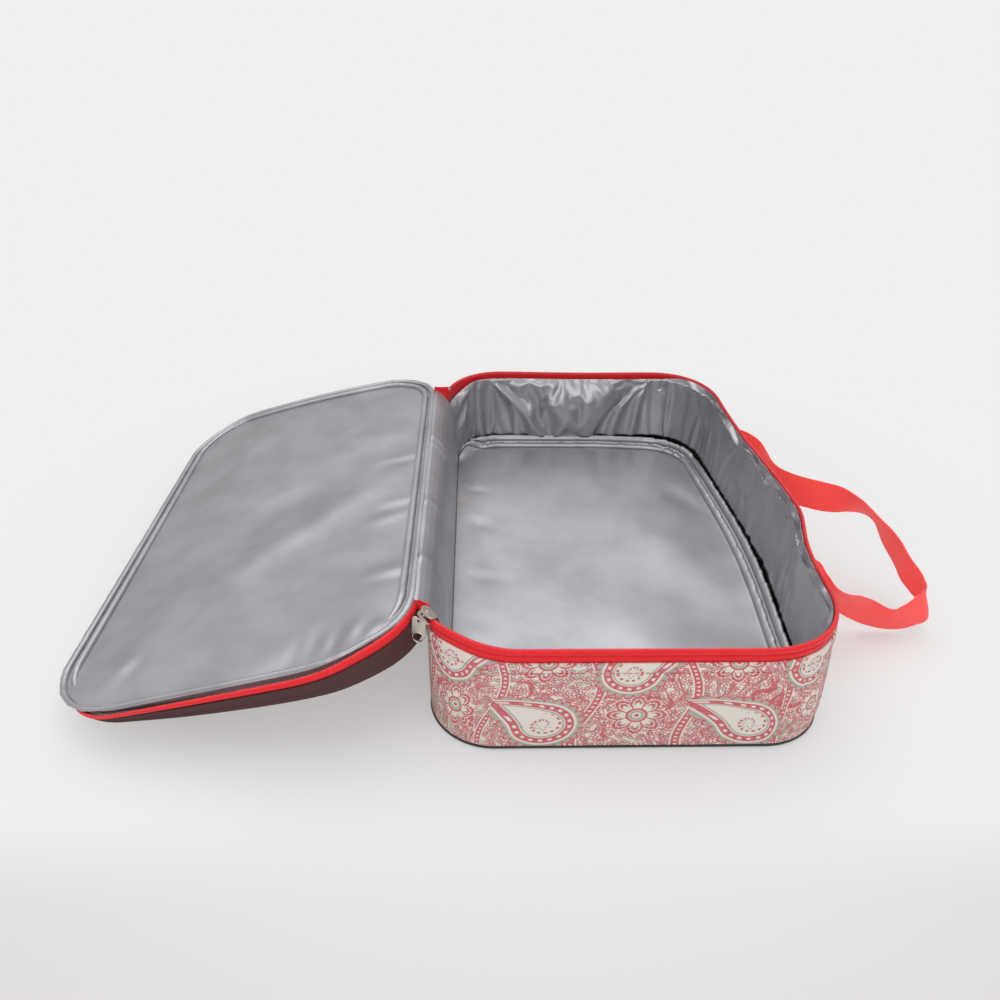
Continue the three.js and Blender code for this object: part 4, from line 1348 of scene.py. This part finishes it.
class MakeHinge(BagOperator):
    """Cloth fold between tray and lid: outer strip, lining strip and the ends of the zip"""
    bl_idname = "bag.make_hinge"
    bl_label = "Hinge fold"

    def execute(self, context):
        half = sizes().rim_length / 2 - sizes().corner_radius - 1 * MM

        def crease(grid):
            grid[..., 2] += 0.5 * MM * np.sin(grid[..., 1] * 260) * np.sin(grid[..., 1] * 71 + 1)
            return grid

        line = [(-126.9, 64), (-127.2, 68), (-128.6, 72.6), (-130.6, 76), (-132.6, 78.0), (-134.8, 78.4),
                (-137.0, 76.4), (-139.0, 73.0), (-139.6, 70.5)]
        gusset = ribbon("hinge_fold", line, half, 60, crease, 0.8 * MM)
        gusset.data.materials.append(finish_of("printed_cloth"))
        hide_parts("hinge_gusset")
        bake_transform(gusset)

        def gathered(grid):
            y = grid[..., 1]
            marks = [(78, 62, 1.9, 3, 10, 1.0), (74, 48, 1.9, 3, 12, 0.9), (76, -40, 1.7, 4, 12, 0.8),
                     (80, -110, 1.6, 4, 9, 0.8)]
            creases = folds(grid[..., 2], y, marks)
            grid[..., 2] += creases + 0.25 * MM * np.sin(y * 57 + 1) * np.sin(y * 23)
            grid[..., 0] += creases
            grid[..., 1] = y + 1.5 * MM
            return grid

        line = [(-119.2, 56), (-120.4, 61), (-122.2, 67), (-124.8, 72.6), (-128.2, 77.4), (-131.8, 81.0),
                (-134.8, 83.2), (-137.2, 83.4)]
        lining = ribbon("hinge_lining", line, half + 12 * MM, 90, gathered, 0.6 * MM)
        lining.data.materials.append(finish_of("silver_lining"))
        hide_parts("hinge_liner")
        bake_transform(lining)
        for name, route in (("zip_end_front", self.front_end()), ("zip_end_rear", self.rear_end())):
            tab = self.zip_end(name, route)
            tab.data.materials.append(finish_of("zip_red"))
            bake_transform(tab)
        return {"FINISHED"}

    @staticmethod
    def tape_edges(point, walked):
        """The lower and upper edge of a tape at a place of the outline."""
        station = Outline().station(walked)
        return [point(station, -1.9 * MM, h * MM) for h in (-10, -1)]

    def front_end(self):
        """Lower and upper points of the tape's end that is sewn across the front of the hinge."""
        low_tray, high_tray = self.tape_edges(tray_zip_point, Outline().corner(13))
        low_lid, high_lid = self.tape_edges(lid_zip_point, Outline().corner(9))
        top = np.array([-134.0, -156.5, 85.0]) * MM
        foot = np.array([-131.5, -160.5, 76.5]) * MM
        return [(low_tray, high_tray),
                (foot * 0.6 + low_tray * 0.4, top * 0.6 + high_tray * 0.4),
                (foot, top),
                (foot * 0.5 + low_lid * 0.5, top * 0.5 + high_lid * 0.5),
                (low_lid, high_lid)]

    def rear_end(self):
        """Lower and upper points of the tape's end that is sewn across the rear of the hinge."""
        outline = Outline()
        low_tray, high_tray = self.tape_edges(tray_zip_point, outline.total - outline.corner(20))
        plan = [(-124.8, 161.0, 73.0, 85.4), (-128.0, 158.2, 73.4, 86.4), (-132.0, 157.0, 74.8, 86.8),
                (-135.2, 156.4, 76.4, 87.2), (-137.6, 156.0, 78.6, 87.6)]
        points = [(np.array([x, y, low]) * MM, np.array([x, y + 1.5, high]) * MM) for x, y, low, high in plan]
        return [(low_tray, high_tray)] + points

    @staticmethod
    def zip_end(name, route):
        """A tab of zip tape along a route of lower and upper points."""
        route = np.array(route)
        fine = np.linspace(0, len(route) - 1, (len(route) - 1) * 4 + 1)
        near = np.clip(fine.astype(int), 0, len(route) - 2)
        part = (fine - near)[:, None, None]
        edges = route[near] * (1 - part) + route[near + 1] * part
        share = np.linspace(0, 1, 6)[None, :, None]
        grid = edges[:, :1] * (1 - share) + edges[:, 1:] * share
        faces, marks = grid_faces(*grid.shape[:2])
        run_step, up_step = 0.0015, 0.0018
        uv = np.stack([marks[:, 0] * run_step, marks[:, 1] * up_step], -1)
        return thicken(soften(new_piece(name, grid, faces, uv)), 0.8 * MM, 0.0)


# Middle of the webbing in millimetres, and its turn about its run in degrees
HANDLE_ROUTE = [
    (130, 103, 62, 0), (134, 99, 62, 3), (143, 93, 61.5, 10), (150, 81, 60, 17), (152, 64, 58, 18),
    (152, 46, 58.5, 13), (154, 30, 60.5, 9), (160, 16, 63, 6), (170, 4, 65, 5), (181, -4, 66, 5),
    (191, -10, 67, -5), (200, -15, 67, -26), (208, -21, 66, -40), (214, -28, 63, -43),
    (220, -38, 56, -30), (227, -50, 46, -18), (232, -63, 37, -13), (237, -73, 30, -14),
    (240, -82, 25, -22), (238, -89, 23, -21), (230, -93, 20.5, -9), (221, -95.5, 17.5, 3),
    (211, -96, 15.5, 16), (200, -95, 17.5, 18), (188, -95.5, 24, 19), (175, -98, 32.5, 28),
    (161, -100, 40.5, 38), (147, -96, 50.5, 26), (138, -95, 58, 10), (134, -99, 61.5, 2),
    (130, -103, 62, 0)]


def along_route(route, count):
    """Evenly spaced points of a smooth curve through a route, and the strap's turn there."""
    route = np.asarray(route, float)
    knots = np.concatenate([[0], np.cumsum(np.linalg.norm(np.diff(route[:, :3], axis=0), axis=1) ** 0.5)])
    slopes = np.gradient(route, knots, axis=0)
    t = np.linspace(0, knots[-1], 400)
    i = np.clip(np.searchsorted(knots, t) - 1, 0, len(knots) - 2)
    width = (knots[i + 1] - knots[i])[:, None]
    f = ((t - knots[i])[:, None]) / width
    fine = ((2 * f ** 3 - 3 * f ** 2 + 1) * route[i] + (f ** 3 - 2 * f ** 2 + f) * width * slopes[i]
            + (3 * f ** 2 - 2 * f ** 3) * route[i + 1] + (f ** 3 - f ** 2) * width * slopes[i + 1])
    gone = np.concatenate([[0], np.cumsum(np.linalg.norm(np.diff(fine[:, :3], axis=0), axis=1))])
    even = np.linspace(0, gone[-1], count)
    return np.stack([np.interp(even, gone, fine[:, k]) for k in range(4)], -1), even


class MakeHandle(BagOperator):
    """Webbing loop and its two sewn ends"""
    bl_idname = "bag.make_handle"
    bl_label = "Handle"

    def execute(self, context):
        size = sizes()
        line, gone = along_route(HANDLE_ROUTE, 180)
        spot = line[:, :3] * MM
        gone = gone * MM
        bulge = tray_bow(spot[:, 1], np.ones(len(spot)), spot[:, 2])
        wall_x, hold = 0.1306, 0.008
        near = 1 - ease((spot[:, 0] - wall_x) / hold)
        spot[:, 0] += bulge * near
        tangent = np.gradient(spot, axis=0)
        tangent /= np.linalg.norm(tangent, axis=1)[:, None]
        upright = np.array([0, 0, 1.0]) - tangent * tangent[:, 2:]
        upright /= np.linalg.norm(upright, axis=1)[:, None]
        turn = np.radians(line[:, 3])[:, None]
        wide = np.cos(turn) * upright + np.sin(turn) * np.cross(upright, tangent)
        flat = np.cross(wide, tangent)
        half, thick = size.strap_width / 2, size.strap_thick / 2
        across = np.linspace(-1, 1, 9)
        cup = 0.9 * MM * np.sin(gone * 31)
        section = [(c, thick * (1 - 0.35 * abs(c) ** 6)) for c in across]
        section += [(c, -thick * (1 - 0.35 * abs(c) ** 6)) for c in across[::-1]]
        rings = [spot + wide * (c * half) + flat * (d + cup * (1 - c * c))[:, None] for c, d in section]
        section_uv = np.array([c * half for c, _ in section] + [-half])
        strap = tidy(loft("handle_webbing", np.stack(rings, 1), False, gone, section_uv), 60)
        strap.data.materials.append(finish_of("red_webbing"))
        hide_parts("handle_strap")
        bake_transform(strap)
        for name, node in (("strap_end_front", "handle_end_front"), ("strap_end_rear", "handle_end_rear")):
            self.sewn_end(name, node)
        return {"FINISHED"}

    def sewn_end(self, name, node):
        """A strap end sewn flat on the wall."""
        size = sizes()
        low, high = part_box(node)
        middle_z, half = (low.z + high.z) / 2, size.strap_width / 2
        ys = np.linspace(low.y, high.y, 13)
        zs = np.linspace(-1, 1, 9)
        y, c = np.meshgrid(ys, zs, indexing="ij")
        z = middle_z + c * half
        face = tray_bow(y, np.ones_like(y), z) + size.rim_width / 2
        share = np.abs(y - (low.y + high.y) / 2) / ((high.y - low.y) / 2)
        out = 1.9 * MM - 0.5 * MM * ease(share * 6 - 5) - 0.3 * MM * np.abs(c) ** 6
        grid = np.stack([face + out, y, z], -1)
        faces, marks = grid_faces(*grid.shape[:2])
        uv = np.stack([ys[marks[:, 0]], zs[marks[:, 1]] * half], -1)
        sheet = thicken(soften(new_piece(name, grid, faces, uv)), 1.5 * MM)
        dress(sheet, "base", "red_webbing", "red_webbing", node)
        self.box_stitches(name + "_stitching", low, high)

    @staticmethod
    def box_stitches(name, low, high):
        """A box and a cross of stitches on a strap end."""
        size = sizes()
        inset, pitch, thick, sides = 3 * MM, 2.8 * MM, 0.3 * MM, 4
        middle_z, edge = (low.z + high.z) / 2, size.strap_width / 2 - inset
        front, rear = low.y + inset, high.y - inset
        corners = [(front, -edge), (rear, -edge), (rear, edge), (front, edge)]
        box = [(corners[i], corners[(i + 1) % 4]) for i in range(4)]
        cross = [(corners[0], corners[2]), (corners[1], corners[3])]
        shape = [(0.1, 0.3), (0.3, 1.0), (0.7, 1.0), (0.9, 0.3)]
        points, faces = [], []
        for (ya, za), (yb, zb) in box + cross:
            count = max(2, int(math.hypot(yb - ya, zb - za) / pitch))
            turn = math.atan2(zb - za, yb - ya)
            for i in range(count):
                first = len(points)
                for share, swell in shape:
                    t = (i + share) / count
                    py, pz = ya + (yb - ya) * t, middle_z + za + (zb - za) * t
                    px = float(tray_bow(py, 1.0, pz)) + size.rim_width / 2 + 1.95 * MM
                    for k in range(sides):
                        angle = math.pi / 4 + k * math.pi / 2
                        aside, lifted = thick * swell * math.cos(angle), thick * swell * math.sin(angle)
                        points.append((px + lifted, py - aside * math.sin(turn), pz + aside * math.cos(turn)))
                faces.extend(tube_faces(first, len(shape), sides))
        thread = tidy(new_piece(name, points, faces), 70)
        dress(thread, "base", "red_webbing", "red_thread")


class MakeSlider(BagOperator):
    """Metal slider with its bail, and the pull that hangs from it"""
    bl_idname = "bag.make_slider"
    bl_label = "Slider and pull"

    face = Vector((0.53, 0.06, 0.85))
    run = Vector((0.7, -0.6, -0.4))
    crosswise = (0, math.pi / 2, 0)

    def execute(self, context):
        along = -Vector(joints["pull_swing"]["axis"])
        outward = Vector((along.y, -along.x, 0))
        place = Matrix((outward, along, Vector((0, 0, 1)))).transposed().to_4x4()
        place.translation = joints["pull_swing"]["pos_m"]
        face = self.face.normalized()
        side = face.cross(self.run).normalized()
        deck = Matrix((face, side.cross(face), side)).transposed().to_4x4()
        deck.translation = place @ (Vector((-1.5, 0, 2.0)) * MM)
        metal = self.slider()
        metal.data.transform(deck)
        bail = self.ring("slider_bail", 1.8, 0.5, (-0.2, 0, 1.8), self.crosswise)
        bail.data.transform(place)
        pull = self.pull()
        pull.data.transform(place)
        metal = self.joined([metal, bail])
        for piece, body, node in ((metal, "slider", "slider_body"), (pull, "pull", "pull_tab")):
            apply_modifier(piece, "BEVEL", width=0.22 * MM, segments=2, limit_method="ANGLE")
            tidy(piece, 30)
            apply_modifier(piece, "WEIGHTED_NORMAL", keep_sharp=True)
            dress(piece, body, "nickel", "nickel", node)
        return {"FINISHED"}

    @staticmethod
    def round_edges(piece, chosen, width, segments):
        """Rounds the edges that a test of their two ends picks."""
        bpy.ops.object.select_all(action="DESELECT")
        bpy.context.view_layer.objects.active = piece
        piece.select_set(True)
        bpy.ops.object.mode_set(mode="EDIT")
        bpy.ops.mesh.select_mode(type="EDGE")
        bpy.ops.mesh.select_all(action="DESELECT")
        edit = bmesh.from_edit_mesh(piece.data)
        for edge in edit.edges:
            edge.select_set(chosen(*(corner.co / MM for corner in edge.verts)))
        bmesh.update_edit_mesh(piece.data)
        bpy.ops.mesh.bevel(offset=width * MM, segments=segments)
        bpy.ops.object.mode_set(mode="OBJECT")
        return piece

    @staticmethod
    def hole(piece, radius, place, turn):
        """Cuts a round hole whose axis is turned from upright."""
        bpy.ops.object.select_all(action="DESELECT")
        bpy.ops.mesh.primitive_cylinder_add(vertices=32, radius=radius * MM, depth=12 * MM,
                                            location=Vector(place) * MM, rotation=turn)
        cutter = bpy.context.object
        apply_modifier(piece, "BOOLEAN", operation="DIFFERENCE", object=cutter, solver="EXACT")
        bpy.data.objects.remove(cutter)
        return piece

    @staticmethod
    def ring(name, radius, thick, place, turn):
        """A wire ring with its sizes and its middle in millimetres."""
        bpy.ops.object.select_all(action="DESELECT")
        bpy.ops.mesh.primitive_torus_add(major_segments=32, minor_segments=10, major_radius=radius * MM,
                                         minor_radius=thick * MM, location=Vector(place) * MM, rotation=turn)
        bpy.ops.object.transform_apply(location=True, rotation=True, scale=True)
        bpy.context.object.name = name
        return bpy.context.object

    @staticmethod
    def joined(pieces):
        """Pieces made one, under the first one's name."""
        bpy.ops.object.select_all(action="DESELECT")
        for piece in pieces:
            piece.select_set(True)
        bpy.context.view_layer.objects.active = pieces[0]
        bpy.ops.object.join()
        return pieces[0]

    def slider(self):
        """Two plates with rolled edges and a neck between them, about the origin and facing along X."""
        parts = []
        for name, level in (("slider_metal", 0.0), ("slider_back_plate", -4.4)):
            plate = block(name, (1.1, 11.4, 7.4), (level, 0, 0))
            self.round_edges(plate, lambda a, b: abs(a.x - b.x) > 0.5, 3.5, 8)
            parts.append(plate)
            for edge in (-3.0, 3.0):
                parts.append(block("slider_lip", (1.3, 6.0, 0.9), (level * 0.72 - 0.6, 0, edge)))
        parts.append(block("slider_neck", (4.4, 1.9, 3.0), (-2.2, -3.8, 0)))
        return self.joined(parts)

    def pull(self):
        """A flat tab with a round end and a hole, on a wire link that hangs from the bail."""
        tab = block("pull_metal", (1.3, 8.8, 19.2), (0, 0, -9.6))
        self.round_edges(tab, lambda a, b: abs(a.x - b.x) > 0.5 and a.z < -18, 4.3, 8)
        self.round_edges(tab, lambda a, b: abs(a.x - b.x) > 0.5 and a.z > -1, 0.9, 3)
        self.hole(tab, 3.2, (0, 0, -14.8), self.crosswise)
        self.hole(tab, 1.2, (0, 0, -2.2), self.crosswise)
        rim = self.ring("pull_rim", 3.6, 0.5, (0.3, 0, -14.8), self.crosswise)
        plate = self.joined([tab, rim])
        turned = Matrix.Rotation(math.radians(-6), 4, "Y") @ Matrix.Rotation(math.radians(52), 4, "Z")
        plate.data.transform(Matrix.Translation(Vector((4.4, -0.7, -0.8)) * MM) @ turned)
        link = self.ring("pull_link", 2.9, 0.5, (0, 0, 0), (math.pi / 2, 0, 0))
        leant = Matrix.Rotation(math.radians(-54), 4, "Y") @ Matrix.Diagonal((0.55, 1, 1, 1))
        link.data.transform(Matrix.Translation(Vector((2.1, -0.3, -1.5)) * MM) @ leant)
        return self.joined([plate, link])


class MakeStage(BagOperator):
    """Pale floor, soft lights and the camera"""
    bl_idname = "bag.make_stage"
    bl_label = "Studio"

    camera_place = Vector((-0.0988, -0.5539, 0.4094))
    camera_pitch = math.radians(32.234)
    camera_yaw = math.radians(2.066)
    camera_roll = math.radians(1.138)
    camera_lens = 29.27

    def execute(self, context):
        scene = context.scene
        scene.view_settings.view_transform = "Standard"
        self.floor()
        self.world(scene)
        self.sun("sky_light", way=(-0.07, 0.30, 1.0), power=1.25, spread=70)
        self.lamp("front_light", place=(-0.2, -1.9, 0.9), target=(-0.05, 0, 0.04), size=1.4, power=10)
        self.camera(scene)
        return {"FINISHED"}

    @staticmethod
    def floor():
        """A wide floor that takes the bag's shadow and fades into the backdrop."""
        width, gap = 600, 0.3 * MM
        bpy.ops.object.select_all(action="DESELECT")
        bpy.ops.mesh.primitive_grid_add(x_subdivisions=2, y_subdivisions=2, size=width, location=(0, 0, 0))
        floor = bpy.context.object
        floor.name = "studio_floor"
        floor.data.transform(Matrix.Translation((0, 0, -gap)))
        material, shader, place, _ = new_finish("studio_floor")
        grain = place.noise(3.0, 2.0)
        feed(shader, Base_Color=tuple(colours().floor), Roughness=grain * 0.1 + 0.75, Specular_IOR_Level=0.1)
        x, y, _ = place.split()
        away = ((x + 0.06) * (x + 0.06) * 0.8 + (y - 0.02) * (y - 0.02)).math("SQRT").step(0.27, 0.45)
        near = y.step(-0.24, -0.31) * y.step(-1.0, -0.45) * abs(x).step(1.1, 0.5)
        tint = near.blend(tuple(colours().backdrop), tuple(colours().foreground))
        path = place.make("ShaderNodeLightPath")
        glow = place.make("ShaderNodeEmission", None, {"Color": tint, "Strength": 1.0})
        lit = Shade(material.node_tree, shader.outputs[0])
        mixed = place.make("ShaderNodeMixShader", None, {0: (away * 0.58 + 0.42) * path, 1: lit, 2: glow})
        material.node_tree.links.new(mixed.socket, material.node_tree.nodes["Material Output"].inputs[0])
        floor.data.materials.append(material)

    @staticmethod
    def world(scene):
        """Air that is brightest overhead, so that folds of the lining shade softly."""
        world = bpy.data.worlds.new("studio_air")
        world.use_nodes = True
        tree = world.node_tree
        way = Shade(tree, None).make("ShaderNodeTexCoord", output=0)
        height = way.split()[2].step(-0.1, 0.9)
        low_air, high_air = (0.34, 0.34, 0.345), (0.80, 0.80, 0.80)
        tint = height.blend(low_air, high_air)
        tint = way.make("ShaderNodeLightPath").blend(tint, tuple(colours().backdrop))
        tree.links.new(tint.socket, tree.nodes["Background"].inputs["Color"])
        scene.world = world

    @staticmethod
    def sun(name, way, power, spread):
        """A sun that shines from a way, with its spread in degrees."""
        data = bpy.data.lights.new(name, "SUN")
        data.energy = power
        data.angle = math.radians(spread)
        lamp = bpy.data.objects.new(name, data)
        lamp.rotation_euler = (-Vector(way)).to_track_quat("-Z", "Y").to_euler()
        bpy.context.scene.collection.objects.link(lamp)

    @staticmethod
    def lamp(name, place, target, size, power):
        """A square lamp at a place, aimed at a target."""
        data = bpy.data.lights.new(name, "AREA")
        data.size = size
        data.energy = power
        lamp = bpy.data.objects.new(name, data)
        lamp.location = place
        lamp.rotation_euler = (Vector(target) - Vector(place)).to_track_quat("-Z", "Y").to_euler()
        bpy.context.scene.collection.objects.link(lamp)

    def camera(self, scene):
        """The camera at the photograph's place and angle."""
        data = bpy.data.cameras.new("camera")
        data.sensor_width = 36
        data.lens = self.camera_lens
        data.clip_end = 1000
        camera = bpy.data.objects.new("camera", data)
        pitch, yaw = self.camera_pitch, self.camera_yaw
        ahead = Vector((math.sin(yaw) * math.cos(pitch), math.cos(yaw) * math.cos(pitch), -math.sin(pitch)))
        level = Vector((math.cos(yaw), -math.sin(yaw), 0))
        over = level.cross(ahead)
        right = level * math.cos(self.camera_roll) + over * math.sin(self.camera_roll)
        up = over * math.cos(self.camera_roll) - level * math.sin(self.camera_roll)
        turn = Matrix((right, up, -ahead)).transposed().to_4x4()
        camera.matrix_world = Matrix.Translation(self.camera_place) @ turn
        scene.collection.objects.link(camera)
        scene.camera = camera


STEPS = (MakeStage, MakeUnderside, MakePadding, MakeTrayWall, MakeTrayLining, MakeLidShell, MakeLidLining,
         MakeZip, MakeHinge, MakeHandle, MakeSlider)


class BagPanel(bpy.types.Panel):
    """The bag's steps, sizes and colours"""
    bl_idname = "VIEW3D_PT_lunch_bag"
    bl_label = "Lunch Bag"
    bl_space_type = "VIEW_3D"
    bl_region_type = "UI"
    bl_category = "Lunch Bag"

    def draw(self, context):
        for step in STEPS:
            self.layout.operator(step.bl_idname)
        for group in (context.scene.bag_sizes, context.scene.bag_colours):
            for name in group.__annotations__:
                self.layout.prop(group, name)


CLASSES = (BagSizes, BagColours, *STEPS, BagPanel)


def register():
    for kind in CLASSES:
        bpy.utils.register_class(kind)
    bpy.types.Scene.bag_sizes = bpy.props.PointerProperty(type=BagSizes)
    bpy.types.Scene.bag_colours = bpy.props.PointerProperty(type=BagColours)


def unregister():
    del bpy.types.Scene.bag_colours
    del bpy.types.Scene.bag_sizes
    for kind in reversed(CLASSES):
        bpy.utils.unregister_class(kind)


def main():
    register()
    for step in STEPS:
        group, name = step.bl_idname.split(".")
        getattr(getattr(bpy.ops, group), name)()


if __name__ == "__main__":
    main()
